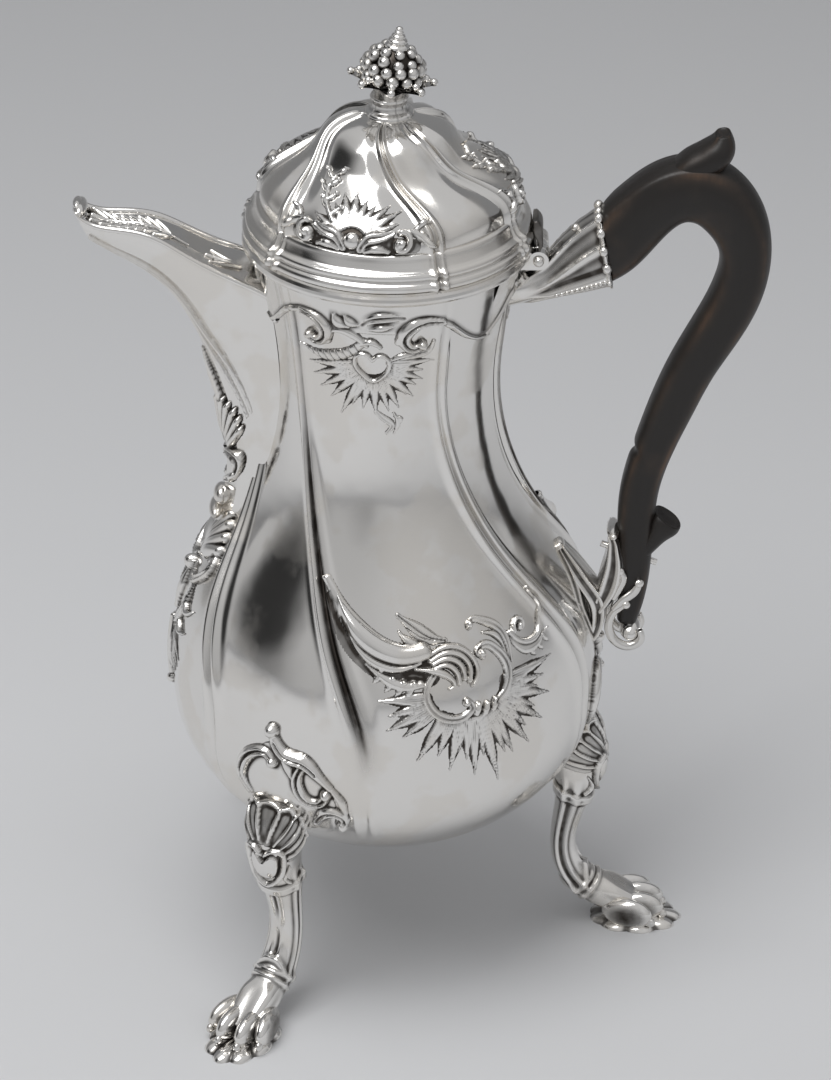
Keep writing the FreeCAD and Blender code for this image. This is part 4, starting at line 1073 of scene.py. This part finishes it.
def paw():
    """Toes, claws and the fluted shell they stand on, and how dark each point is painted."""
    shapes, shade = [], []
    for x, y, turn in TOES:
        ahead, aside = math.cos(math.radians(turn)), math.sin(math.radians(turn))
        toe, faces = blob((x, y, TOE_RISE), TOE_RADII, turn)
        across = (toe[:, 1] - y) * ahead - (toe[:, 0] - x) * aside
        claw = blob((x + CLAW_REACH * ahead, y + CLAW_REACH * aside, CLAW_RISE), CLAW_RADII, turn)
        shapes += [(toe, faces), claw]
        # painted shade on the sides of each toe that face its neighbours; the claws hardly
        shade += [0.9 * ease(0.5, 0.95, np.abs(across) / TOE_RADII[1]), np.full(len(claw[0]), 0.1)]
    angle = np.arange(180) * 2
    share = np.linspace(0.02, 1.0, 16)[:, None]
    front = ease(180, 90, np.abs((angle + 180) % 360 - 180))
    lobe = np.abs(np.cos(np.radians(4.5 * angle))) * (0.35 + 0.65 * front)
    reach = share * (0.90 + 0.12 * lobe)
    x = FOOT_PLATE + FOOT_LENGTH * reach * np.cos(np.radians(angle))
    y = FOOT_WIDTH * reach * np.sin(np.radians(angle))
    top = FOOT_RISE * np.sqrt(np.clip(1.01 - share ** 2.5, 0, 1)) + 0.7 * share * lobe * (1.02 - share ** 6)
    upper = np.stack([x, y, np.broadcast_to(top, x.shape)], -1)[::-1]
    lower = np.stack([x, y, np.zeros_like(x)], -1)
    plate = np.concatenate([lower, upper]).reshape(-1, 3)
    shapes.append((plate, grid_quads(2 * len(share), len(angle))))
    # tarnish and painted shade in the hollows between the shell's lobes
    shade.append(np.tile(0.9 * ease(0.6, 0.2, lobe) * np.ones_like(share), (2, 1)).ravel())
    return *joined(shapes), np.concatenate(shade)


leg_drawing = leg_relief()
feet, foot_quads, foot_shade = paw()
for name, angle in LEG_ANGLES.items():
    leg = Bar(LEG, angle, 2.3, leg_lift)
    points, quads, (way, around) = leg.mesh(240, 96)
    lift = leg_lift(around, way)
    # painted shade in the hollows of the collar, slot and rings, then the paw's own painted shade
    shade = np.concatenate([np.clip(3.4 * (softened(lift, 4) - lift), 0, 0.95).ravel(), foot_shade])
    points, quads = joined([(points, quads), (turned(feet, angle), foot_quads)])
    piece(f"leg_{name}_cast", points, quads, "pot", "cast_silver", [f"leg_{name}"], wear_tarnish_and_painted_shade=shade)
    leg_drawing.make(f"leg_{name}_shell", leg.skin, leg.girth, 0.0, "pot", "cast_silver")


# %% [markdown]
# ## Handle
# The handle is carved from one block: a thick top, a long tapering back, a thumb scroll and a small spur.
# Three bars that run into each other hold its whole outline in a few numbers. A ridge along the top marks a
# leaf. The edges are rubbed brown, so here the per-point value that darkens the silver stands for wear.

# %% Handle
HANDLE = [(64.8, 242.4, 10.4, 11.4, 8.2), (67.3, 244.4, 22, 11, 8.2), (70.2, 247.6, 36, 10.4, 8.2),
          (76.6, 254.8, 43, 9.6, 8.2), (84.6, 260.2, 20, 9.6, 8.2), (93.5, 260.2, -20, 9.9, 8.2),
          (101.5, 253.2, -55, 9.2, 8.2), (105.7, 241.5, -86, 7.8, 8), (104.2, 229, -107, 7.7, 7.8),
          (98.2, 215, -116, 7.6, 7.5), (91.7, 202.5, -113, 7.2, 7.2), (86.4, 189.5, -109, 6.9, 6.8),
          (81.2, 174.5, -106, 6.2, 6.2), (77.6, 160, -98, 5.9, 5.8), (76.8, 146, -90, 5.6, 5.4),
          (77, 132, -91, 4.8, 4.8), (76.2, 120, -95, 4, 4.2), (75.2, 112.5, -99, 3, 3.4)]
THUMB = [(83, 264.5, 8, 4.0, 6.2), (87.5, 268.0, 15, 4.6, 6.6), (93.2, 271.0, 38, 5.0, 6.6),
         (97.2, 275.6, 72, 4.2, 5.6), (97.4, 279.2, 98, 2.2, 3.6)]
SPUR = [(78.6, 136.5, 58, 2.2, 4.0), (81.4, 141.4, 58, 3.2, 4.7), (83.8, 145.2, 56, 4.2, 5.1),
        (85.8, 148.2, 56, 5.2, 5.3), (86.6, 149.4, 56, 4.8, 4.9)]
NOTCH_WAY = 133.0


def handle_lift(angle, way):
    """The leaf's ridge on top, the step on the inner side and slightly flattened cheeks."""
    side = np.abs((angle + 180) % 360 - 180)
    ridge = 0.9 * bell(side - 42, 14) * ease(2, 12, way) * ease(52, 30, way)
    step = -1.0 * bell(way - NOTCH_WAY, 1.6) * ease(110, 150, side)
    return ridge + step - 0.35 * bell(side - 90, 26) * ease(30, 60, way)


handle = Bar(HANDLE, 0.0, 2.5, handle_lift)
shapes, wear = [], []
for bar, rows in ((handle, 300), (Bar(THUMB, 0.0, 2.4), 60), (Bar(SPUR, 0.0, 2.3), 40)):
    points, quads, (way, around) = bar.mesh(rows, 80)
    side = np.abs((around + 180) % 360 - 180)
    shapes.append((points, quads))
    wear.append(np.ravel(0.6 * bell(side - 48, 12) + 0.45 * bell(side - 132, 14)))
points, quads = joined(shapes)
piece("handle_carved", points, quads, "pot", "dark_wood", ["handle"], wear_tarnish_and_painted_shade=np.concatenate(wear))


# %% [markdown]
# ## Upper socket
# The socket that holds the top of the handle grows out of the neck like a stem and opens into a shell:
# flutes on top and at the sides, a smooth scroll below with a beaded edge, and a row of small scrolls
# against the wood. It bends and is deeper than wide, so it is a bar and not a turned shape, and its flutes
# sweep because their place round it changes along the way.

# %% Upper socket
UPPER_SOCKET = [(33, 226, 20, 5, 5.4), (45, 230.3, 18, 5.5, 6), (54.2, 236.2, 20, 9, 7.6),
                (64.6, 242.4, 10.4, 12.1, 8.9)]
RIM_SCROLLS, RIM_SCROLL_PITCH, RIM_SCROLL_RADII = 9, 27.0, (1.5, 1.7, 1.7)
EDGE_BEADS, EDGE_BEAD_PITCH, EDGE_BEAD_RADIUS = 12, 1.65, 0.75


def socket_lift(angle, way):
    """Sweeping flutes on top and at the sides, two plain bands below and a lip at the wood."""
    side = np.abs((angle + 180) % 360 - 180)
    shell = ease(6, 22, way) * ease(122, 112, side)
    wave = np.abs(np.sin(np.radians(3.6 * side + 80 * ease(4, 36, way))))
    flutes = 1.3 * (1 - wave) ** 1.6 - 1.25
    bands = 1.0 * bell(side - 126, 6) * ease(8, 16, way) + 0.9 * bell(side - 158, 9) * ease(4, 10, way)
    lip = 0.9 * bell(way - 35.4, 1.0) * ease(20, 50, side)
    return flutes * shell + bands + lip


upper_socket = Bar(UPPER_SOCKET, 0.0, 2.2, socket_lift)
points, quads, (way, around) = upper_socket.mesh(140, 144)
shapes = [(points, quads)]
lift = socket_lift(around, way)
# painted shade in the hollows of the flutes, deepest at their bottoms; the scrolls and beads stay bright
shade = [np.ravel(np.clip(3.2 * (softened(lift, 4) - lift) + 0.4 * ease(-0.5, -1.1, lift), 0, 0.95))]
for number in range(RIM_SCROLLS):
    place = upper_socket.skin((number - RIM_SCROLLS // 2) * RIM_SCROLL_PITCH, upper_socket.length - 0.6)
    shapes.append(blob(place, RIM_SCROLL_RADII))
for number in range(EDGE_BEADS):
    for side in (-1, 1):
        place = upper_socket.skin(side * 128.0, 17.0 + number * EDGE_BEAD_PITCH)
        shapes.append(blob(place, (EDGE_BEAD_RADIUS,) * 3, 0.0, 8, 10))
shade += [np.zeros(len(bead)) for bead, faces in shapes[1:]]
points, quads = joined(shapes)
piece("upper_socket_shell", points, quads, "pot", "cast_silver", ["upper_socket"],
      wear_tarnish_and_painted_shade=np.concatenate(shade))


# %% [markdown]
# ## Hinge leaf
# The lid's half of the hinge is a low leaf that leans on the moulding, with two knuckles on the pin. A box
# with bevels would be quicker, but the leaf thickens and rolls over at its top, so it is a short bar with
# square corners. Its face is never rubbed, so it stays dark.

# %% Hinge leaf
HINGE, KNUCKLE_RADIUS, KNUCKLE_HALF, KNUCKLE_SIDE = (44.6, 240.2), 3.0, 1.6, 3.35
HINGE_LEAF = [(44.9, 241.5, 90, 0.95, 5.1), (44.9, 244.8, 90, 0.95, 5.1), (44.3, 247.2, 90, 1.5, 5.1),
              (44.0, 249.6, 92, 1.4, 5.0), (43.4, 251.2, 100, 0.7, 4.4)]


def roll(centre, radius, half):
    """A short round bar across the pot."""
    share = np.concatenate([np.linspace(0.05, 1, 5), np.ones(6), np.linspace(1, 0.05, 5)])
    along = np.concatenate([np.full(4, -half), np.linspace(-half, half, 8), np.full(4, half)])
    turn = np.arange(40) * 2 * math.pi / 40
    points = np.stack([centre[0] + radius * share[:, None] * np.cos(turn), np.repeat(along[:, None], 40, 1),
                       centre[1] - radius * share[:, None] * np.sin(turn)], -1)
    return points.reshape(-1, 3), grid_quads(len(share), 40)


def make_hinge_leaf():
    points, quads, _ = Bar(HINGE_LEAF, 0.0, 5.0).mesh(40, 64)
    knuckle, faces = roll(HINGE, KNUCKLE_RADIUS, KNUCKLE_HALF)
    shapes = [(points, quads)] + [(knuckle + (0, side * KNUCKLE_SIDE, 0), faces) for side in (-1, 1)]
    # the leaf is coloured dark all over, the knuckles hardly
    shade = np.concatenate([np.full(points.shape[0] * points.shape[1], 0.85), np.full(2 * len(knuckle), 0.1)])
    points, quads = joined(shapes)
    return piece("lid_hinge_leaf", points, quads, "lid", "silver", ["lid_hinge_plate"], wear_tarnish_and_painted_shade=shade)


make_hinge_leaf()


# %% [markdown]
# ## Lower socket
# The lower socket is cast in one with a Y-shaped arm: one branch runs up the belly, the other up the inner
# side of the handle, and leafy fingers hold the wood. Below, the arm rolls up into a volute. All of them
# are bars along S-lines, sunk into each other where the casting runs together, and eggs close their rolled
# ends.

# %% Lower socket
HANDLE_ARM = [(65.8, 117.5, 60, 2.6, 4.4), (68.2, 122.5, 68, 3.6, 5.2), (70.2, 129, 78, 4.3, 5.7),
              (70.8, 135.5, 88, 3.4, 5.9), (70.4, 140.5, 96, 2.3, 5.9), (69.8, 143.6, 110, 1.6, 5.6),
              (68.8, 145.2, 150, 1.2, 5.0)]
BELLY_ARM = [(53.8, 138.8, -58, 1.4, 2.4), (57.4, 133.2, -56, 2.5, 4.4), (61.6, 126.8, -57, 3.0, 5.4),
             (65.2, 120.4, -66, 3.4, 5.2), (65.9, 114.5, -86, 3.0, 4.4), (65.2, 109.4, -102, 2.2, 3.8),
             (64.2, 106.6, -130, 1.4, 3.2)]
UPPER_FINGER = [(70.6, 122.5, 62, 1.0, 0.9), (72.6, 127.0, 66, 1.3, 1.1), (73.4, 130.8, 95, 1.2, 1.1),
                (72.4, 132.6, 150, 0.9, 0.9)]
LONG_FINGER = [(70.8, 118.5, 50, 1.1, 0.9), (74.0, 122.4, 50, 1.4, 1.1), (77.4, 125.8, 56, 1.4, 1.1),
               (78.4, 128.4, 100, 1.0, 0.9)]
VOLUTE = [(79.2, 111.6, 290, 0.9, 0.9), (79.8, 108.4, 240, 1.3, 1.2), (76.0, 105.6, 175, 1.5, 1.3),
          (71.4, 107.8, 125, 1.5, 1.3), (69.6, 113.2, 88, 1.4, 1.2), (71.4, 118.2, 48, 1.2, 1.1),
          (74.6, 120.6, 20, 1.0, 1.0)]
FINGER_SIDE, FINGER_BULB = 4.8, 1.5
SCROLL_ENDS = [((76.4, 0, 109.6), (3.5, 6.0, 3.5)), ((70.0, 0, 144.8), (2.1, 6.4, 2.0)),
               ((63.8, 0, 107.6), (2.0, 4.8, 2.2)), ((53.6, 0, 139.2), (1.6, 3.0, 1.8))]


def arm_lift(angle, way):
    """Two ridges on each cheek of an arm with a hollow between, all along it, and a flatter back."""
    side = np.abs((angle + 180) % 360 - 180)
    ridges = 0.7 * bell(side - 58, 9) + 0.7 * bell(side - 104, 10)
    return ridges - 0.5 * bell(side - 82, 9) - 0.4 * bell(side, 30)


def make_lower_socket():
    shapes, shade = [], []
    for stations in (HANDLE_ARM, BELLY_ARM):
        points, quads, (way, around) = Bar(stations, 0.0, 2.4, arm_lift).mesh(90, 96)
        lift = arm_lift(around, way)
        shapes.append((points, quads))
        # painted shade in the hollows of the arms, and a little all over them
        shade.append(np.ravel(np.clip(4.5 * (softened(lift, 5) - lift) + 0.16, 0, 0.9)))
    for stations in (UPPER_FINGER, LONG_FINGER, VOLUTE):
        points, quads, _ = Bar(stations).mesh(60, 20)
        bulb, faces = blob((stations[-1][0], 0, stations[-1][1]), (FINGER_BULB,) * 3, 0.0, 10, 14)
        for side in (-1, 1):
            aside = (0, side * FINGER_SIDE, 0)
            shapes += [(points + aside, quads), (bulb + aside, faces)]
            # a little painted shade on the fingers, none on their bulbs
            shade += [np.full(points.shape[0] * points.shape[1], 0.1), np.zeros(len(bulb))]
    for centre, radii in SCROLL_ENDS:
        shapes.append(blob(centre, radii, 0.0, 20, 28))
        shade.append(np.zeros(len(shapes[-1][0])))
    points, quads = joined(shapes)
    return piece("lower_socket_arms", points, quads, "pot", "cast_silver",
                 ["lower_socket", "lower_socket_plate"], wear_tarnish_and_painted_shade=np.concatenate(shade))


make_lower_socket()


# %% [markdown]
# ## Spout
# The beak-shaped spout keeps its packed walls, and only its relief is made here. For that its skin is
# needed: a curve runs through a few sections of the spout, each with its upper edge, its keel and its
# width, and a second curve gives the bulge of a flank between edge and keel.

# %% Spout skin
SPOUT = [((-91.8, 250.6), (-88.6, 241), 10.4), ((-83, 246.8), (-80.4, 236.2), 12.4),
         ((-72.5, 245.8), (-69.5, 229), 15), ((-62, 241.3), (-61.2, 219.6), 17.8),
         ((-50.5, 235.2), (-56.2, 207.5), 20.5), ((-38, 230), (-52.3, 194.5), 23.5),
         ((-27, 218), (-49.6, 182), 25), ((-20, 200), (-48.6, 170), 26), ((-16, 180), (-49.6, 157), 25)]
SPOUT_SIDE = [(1.0, 0.0), (0.93, 0.32), (0.74, 0.62), (0.44, 0.88), (0.0, 1.0)]
COVER_DIP = 1.2
spout_table = np.array([(*top, *keel, wide / 2) for top, keel, wide in SPOUT])
spout_run = np.concatenate([[0], np.cumsum(np.linalg.norm(np.diff(spout_table[:, 2:4], axis=0), axis=1))])
spout_curve = spline(spout_run, spout_table)
side_curve = spline(np.linspace(0, 1, 5), SPOUT_SIDE)
FLANK_UNITS = 30.0


def same(way):
    """Lengths across the spout are given to its skin unchanged."""
    return np.full(np.shape(way), math.degrees(1))


def flank_skin(face):
    """The flank on one face: across it from the top edge, 0, to the keel, 30, and lengths along the keel."""
    def skin(across, way):
        across, way = np.broadcast_arrays(np.asarray(across, float), np.asarray(way, float))
        share = across / FLANK_UNITS if face < 0 else 1 - across / FLANK_UNITS
        table, side = spout_curve(way), side_curve(np.clip(share, 0, 1))
        down = side[..., 1:]
        middle = table[..., 0:2] * (1 - down) + table[..., 2:4] * down
        return np.stack([middle[..., 0], face * table[..., 4] * side[..., 0], middle[..., 1]], -1)
    return skin


def cover_skin(across, way):
    """The hollow cover between the two upper edges."""
    across, way = np.broadcast_arrays(np.asarray(across, float), np.asarray(way, float))
    table = spout_curve(way)
    dip = COVER_DIP * (1 - np.clip(np.abs(across) / table[..., 4], 0, 1) ** 2)
    return np.stack([table[..., 0], -across, table[..., 1] - dip + 0.15], -1)


print("spout:", round(spout_run[-1]), "mm along the keel")


# %% [markdown]
# ## Spout flanks
# On each flank two fine ridges run beside the keel. A leaf tip, a shell and a scroll climb the keel from
# the drop below, half on each flank. A line is drawn for the front and mirrored for the back, and a small
# bud hides the place where the spout's ornament meets the drop.

# %% Spout flanks
SPOUT_BUD = [((-50.4, 0, 154.4), (2.6, 4.4, 3.4)), ((-52.2, 0, 149.6), (2.2, 6.2, 2.4))]
SHELL_FOOT = (29.0, 87.0)


def on_flank(face, line):
    """A line of the front flank, or its mirror image on the back one."""
    return [(u if face < 0 else FLANK_UNITS - u, v) for u, v in line]


def flank_relief(face):
    # the ridges take only a small share of the painted shade and tarnish
    relief = Relief(0.5, 29.5, 1.5, 92, tarnish_and_shade=0.12)
    for shift, rise in ((0.0, 1.0), (2.2, 0.85)):
        line = [(16.4 + shift, 1.5), (17.4 + shift, 14), (18.6 + shift, 30), (18.4 + shift, 48),
                (17.2 + shift, 66), (16.4 + shift * 0.6, 80)]
        relief.stroke(on_flank(face, line), 1.7, rise, (0.7, 0.15))
    return relief


def keel_shell(face):
    """The upper end of the drop: a leaf tip and a half shell on one flank, beside the keel."""
    relief = Relief(10.0, 29.5, 48, 98) if face < 0 else Relief(0.5, 20.0, 48, 98)
    relief.stroke(on_flank(face, [(29.4, 51), (28.8, 58), (27.6, 65), (26.6, 70)]), 3.2, 1.2, (0.2, 0.8))
    for number, angle in enumerate(np.radians(np.linspace(4, 66, 6))):
        reach = 19.0 - 1.4 * number
        way = np.array((-0.75 * math.sin(angle), -math.cos(angle)))
        root, tip = way * 4 + SHELL_FOOT, way * reach + SHELL_FOOT
        relief.stroke(on_flank(face, [root, (root + tip) / 2 + (0.6, 0.4), tip]), 3.0, 1.7, (0.35, 0.95))
    scroll = on_flank(face, [(29.0, 87.0), (24.4, 88.0), (21.8, 91.6), (23.4, 95.4), (27.0, 96.4)])
    relief.channel(scroll, 3.8, 2.0, (0.7, 0.7))
    return relief.bead(scroll[-2], 1.8, 2.0)


for face, name in ((-1, "front"), (1, "back")):
    flank_relief(face).make(f"spout_ridges_{name}", flank_skin(face), same, 0.0, "pot", "silver")
    keel_shell(face).make(f"spout_shell_{name}", flank_skin(face), same, 0.0, "pot", "cast_silver")
points, quads = eggs(SPOUT_BUD)
# painted shade towards the two ends of the bud
piece("spout_bud", points, quads, "pot", "cast_silver", wear_tarnish_and_painted_shade=0.3 * ease(3, 6, np.abs(points[:, 1])))


# %% [markdown]
# ## Spout cover
# The hollow cover carries a plume of flutes towards the lip and a small leaf near the neck. It ends in a
# rolled tip, which is two eggs, because a roll with sharp ends looked like a box.

# %% Spout cover
SPOUT_LIP = [((-91.2, 0, 250.8), (2.2, 5.6, 2.2)), ((-92.0, 0, 252.2), (1.4, 3.6, 1.4))]
FLUTES = 8


def cover_relief():
    plume = Relief(-7.4, 7.4, 2.0, 56, 0.25)
    for number in range(FLUTES):
        for side in (-1, 1):
            root = np.array((side * 0.4, 10.0 + 3.2 * number))
            bend, tip = root + (side * 2.0, -2.6), root + (side * (3.4 + 0.1 * number), -5.8)
            plume.stroke([root, bend, tip], 1.7, 0.9, (0.35, 0.9))
    plume.stroke([(0, 4), (0, 18), (0, 38)], 1.4, 1.0, (1.0, 0.2))
    for side in (-1, 0, 1):
        tip = (side * 3.6, 45.5 - 1.5 * (side == 0))
        plume.stroke([(0, 55), (side * 1.6, 50.5), tip], 1.7, 0.8, (0.8, 0.35))
    return plume


cover_relief().make("spout_plume", cover_skin, same, 0.0, "pot", "silver")
points, quads = eggs(SPOUT_LIP)
piece("spout_lip", points, quads, "pot", "silver", wear_tarnish_and_painted_shade=np.zeros(len(points)))


# %% [markdown]
# ## Finial
# The finial is a bunch of berries in a cup of leaves, with a small stepped cone on top. It leans a little,
# as on the old pot. The berries could be scattered by chance, but rings with half a step between them sit
# as tightly as the cast ones. They are eggs round a core painted dark as shade, and each one carries painted
# shade where it turns inwards.

# %% Finial collar
COLLAR = [(3.0, 283.0), (7.0, 283.0), (7.3, 283.8), (6.9, 284.6), (5.7, 285.0), (5.2, 285.8), (5.1, 287.6),
          (5.6, 288.2), (5.8, 288.8), (5.4, 289.4), (3.0, 289.4)]
turned_ring("finial_ring", COLLAR, "lid", "cast_silver", ["finial_collar"], LID_RIBS, 0.0,
            np.arange(0, 360, 4.0))


# %% Finial berries
FINIAL_BASE, FINIAL_LEAN = 288.9, 7.5
BERRY_RINGS = [(7.2, 8.0, 2.0, 12), (9.8, 7.5, 2.05, 12), (12.2, 6.1, 1.95, 9), (14.3, 4.6, 1.75, 7)]
CONE_STEPS = [(15.8, 3.7, 1.5), (17.5, 2.9, 1.2), (18.9, 2.1, 1.0), (20.0, 1.4, 0.9), (21.0, 1.1, 0.9)]
CORE, BERRY_MIDDLE = ((0, 0, 9.6), (6.8, 6.8, 6.6)), (0, 0, 8.5)


def leaning(points):
    """Points of the upright finial, leant towards the handle."""
    lean = math.radians(FINIAL_LEAN)
    x, y, z = np.moveaxis(np.asarray(points, float), -1, 0)
    aside, rise = x * math.cos(lean) + z * math.sin(lean), z * math.cos(lean) - x * math.sin(lean)
    return np.stack([aside, y, FINIAL_BASE + rise], -1)


def make_berries():
    shapes = [blob(*CORE)]
    # the core is painted dark all over, as the shade between the berries
    shade = [np.ones(len(shapes[0][0]))]
    for ring, (height, reach, radius, count) in enumerate(BERRY_RINGS):
        for number in range(count):
            turn = 2 * math.pi * (number + 0.5 * ring) / count
            size = radius * (1 + 0.12 * math.sin(7.3 * number + 2.1 * ring))
            lifted = height + 0.4 * math.sin(5.1 * number)
            centre = np.array((reach * math.cos(turn), reach * math.sin(turn), lifted))
            points, quads = blob(centre, (size, size, size), 0.0, 12, 16)
            outward = centre - BERRY_MIDDLE
            facing = (points - centre) @ outward / np.linalg.norm(outward) / size
            shapes.append((points, quads))
            # painted shade where the berry turns inwards
            shade.append(ease(0.8, 0.05, facing))
    for height, radius, tall in CONE_STEPS:
        shapes.append(blob((0, 0, height), (radius, radius, tall), 0.0, 12, 24))
        shade.append(np.zeros(len(shapes[-1][0])))
    points, quads = joined(shapes)
    return piece("finial_berries", leaning(points), quads, "lid", "cast_silver", ["finial_cluster"],
                 wear_tarnish_and_painted_shade=np.concatenate(shade))


make_berries()


# %% Finial petals
PETALS, PETAL_ROWS, PETAL_COLUMNS, PETAL_SHEET = 8, 16, 13, 0.5
TIP_BERRIES, TIP_BERRY = [(12.2, 6.0), (9.8, 6.8)], 1.2


def make_petals():
    share, side = np.linspace(0, 1, PETAL_ROWS)[:, None], np.linspace(-1, 1, PETAL_COLUMNS)
    reach = 4.4 + 8.0 * share ** 1.7 + 0.8 * side ** 2 * share
    height = 0.2 + 9.4 * share - 3.4 * share ** 3 - 0.7 * (1 - side ** 2) * share
    half = 0.5 * np.sin(math.pi * (0.22 + 0.74 * share)) * side
    vein = np.ravel(0.6 * bell(np.abs(side) - 1, 0.3) * np.ones_like(share) + 0.5 * bell(side, 0.15) * share)
    faces = grid_quads(PETAL_ROWS, PETAL_COLUMNS, wrap=False)
    shapes, shade = [], [vein] * (2 * PETALS)
    for number in range(PETALS):
        turn = 2 * math.pi * number / PETALS + half
        front = np.stack([reach * np.cos(turn), reach * np.sin(turn), height], -1)
        shapes += [(front, faces[:, ::-1]), (front - (0, 0, PETAL_SHEET), faces)]
    for number in range(PETALS):
        turn = 2 * math.pi * number / PETALS
        for out, rise in TIP_BERRIES:
            tip = (out * math.cos(turn), out * math.sin(turn), rise)
            shapes.append(blob(tip, (TIP_BERRY,) * 3, 0.0, 8, 12))
            shade.append(np.zeros(len(shapes[-1][0])))
    points, quads = joined(shapes)
    return piece("finial_petals", leaning(points), quads, "lid", "cast_silver", ["finial_leaves"],
                 wear_tarnish_and_painted_shade=np.concatenate(shade))


make_petals()


# %% [markdown]
# ## Floor
# The floor and the wall are one pale sheet that curves up behind the pot, as a photographer's paper does,
# so no edge shows. It is painted a little darker towards the back, as painted shade where the light falls
# off.

# %% Floor
# painted shade: the floor's grey falls off towards the back
FLOOR_SHADE_GREYS = ((0.1, 0.66), (0.8, 0.52))
FLOOR_HALF, FLOOR_FRONT, BEND_START, BEND_RADIUS, WALL_TOP = 9.0, -9.0, 2.2, 1.2, 4.0


def floor_finish():
    """A matt sheet with painted shade, a little darker towards the back."""
    finish = Finish(bpy.data.materials.new("pale_floor"))
    place = finish.node("ShaderNodeTexCoord", {}, out=3)
    back = finish.node("ShaderNodeSeparateXYZ", {}, place, out=1)
    colour = finish.ramp(back, [(spot, (grey, grey * 1.008, grey * 1.025)) for spot, grey in FLOOR_SHADE_GREYS])
    return finish.surface(finish.node("ShaderNodeBsdfPrincipled", {}, Base_Color=colour, Roughness=0.9))


def stage_sheet(name, points, quads, finish):
    """A sheet that belongs to the picture and not to the pot."""
    mesh = bpy.data.meshes.new(name)
    mesh.from_pydata([Vector(p) for p in points], [], [tuple(int(i) for i in q) for q in quads])
    mesh.polygons.foreach_set("use_smooth", [True] * len(mesh.polygons))
    mesh.materials.append(finish)
    made = bpy.data.objects.new(name, mesh)
    bpy.context.scene.collection.objects.link(made)
    return made


def make_floor():
    bend = np.linspace(0, math.pi / 2, 16)
    line = [(FLOOR_FRONT, 0.0)]
    line += [(BEND_START + BEND_RADIUS * math.sin(a), BEND_RADIUS - BEND_RADIUS * math.cos(a)) for a in bend]
    line += [(BEND_START + BEND_RADIUS, WALL_TOP)]
    points = [(x, y, z) for y, z in line for x in (-FLOOR_HALF, FLOOR_HALF)]
    return stage_sheet("floor", points, grid_quads(len(line), 2, wrap=False), floor_finish())


print("floor:", len(make_floor().data.polygons), "strips")


# %% [markdown]
# ## Light
# Silver shows what stands round it, so the room matters more than the lamps. It is a soft grey world with
# faint clouds and dark corners, which give the curved panels their dark sides. One big panel hangs above.

# %% Light and room
WORLD_GREYS = ((0.0, 0.05), (0.36, 0.80), (0.95, 1.0))
WORLD_STRENGTH = 0.54
DARK_CORNERS = [((-0.78, -0.60, 0.18), 0.45, 0.95, 0.22), ((0.93, -0.20, 0.31), 0.80, 0.98, 0.38),
                ((-0.80, -0.05, 0.60), 0.78, 0.98, 0.34)]
PANEL_PLACE, PANEL_SIZE, PANEL_POWER = (-0.42, -0.45, 1.75), (1.0, 1.4), 18
POT_MIDDLE = (0, 0, 0.14)


def panel(name, place, size, power):
    """A soft light panel that faces the middle of the pot."""
    light = bpy.data.lights.new(name, "AREA")
    light.shape, light.size, light.size_y = "RECTANGLE", *size
    light.energy = power
    made = bpy.data.objects.new(name, light)
    bpy.context.scene.collection.objects.link(made)
    made.location = place
    made.rotation_euler = (Vector(POT_MIDDLE) - Vector(place)).to_track_quat("-Z", "Y").to_euler()
    return made


def soft_world():
    """A grey room, lighter upwards, with faint clouds and dark corners for the silver to show."""
    world = bpy.data.worlds.new("studio")
    bpy.context.scene.world = world
    room = Finish(world)
    place = room.node("ShaderNodeTexCoord", {}, out=0)
    upward = room.node("ShaderNodeSeparateXYZ", {}, place, out=2)
    level = 0.5 * upward + room.node("ShaderNodeTexNoise", {}, Vector=place, Scale=1.1, Detail=0.0)
    for direction, edge, middle, depth in DARK_CORNERS:
        towards = room.node("ShaderNodeVectorMath", {"operation": "DOT_PRODUCT"}, place, direction, out=1)
        level = level - depth * towards.between(edge, middle)
    colour = room.ramp(level, [(spot, (grey, grey, grey * 1.01)) for spot, grey in WORLD_GREYS])
    room.surface(room.node("ShaderNodeBackground", {}, colour, WORLD_STRENGTH))


panel("top_panel", PANEL_PLACE, PANEL_SIZE, PANEL_POWER)
soft_world()
bpy.context.scene.view_settings.view_transform = "Standard"
print("light: one soft panel, and a grey room with", len(DARK_CORNERS), "dark corners")


# %% [markdown]
# ## Imported pieces
# The pieces that keep their imported shape take the finish of their slot.

# %% Finish of the imported pieces
for part in frame["record"]["subparts"]:
    node = nodes[part["node"]]
    node.data.materials.clear()
    node.data.materials.append(SLOT_FINISH[part["material_slot"]])
    node.data.polygons.foreach_set("use_smooth", [True] * len(node.data.polygons))
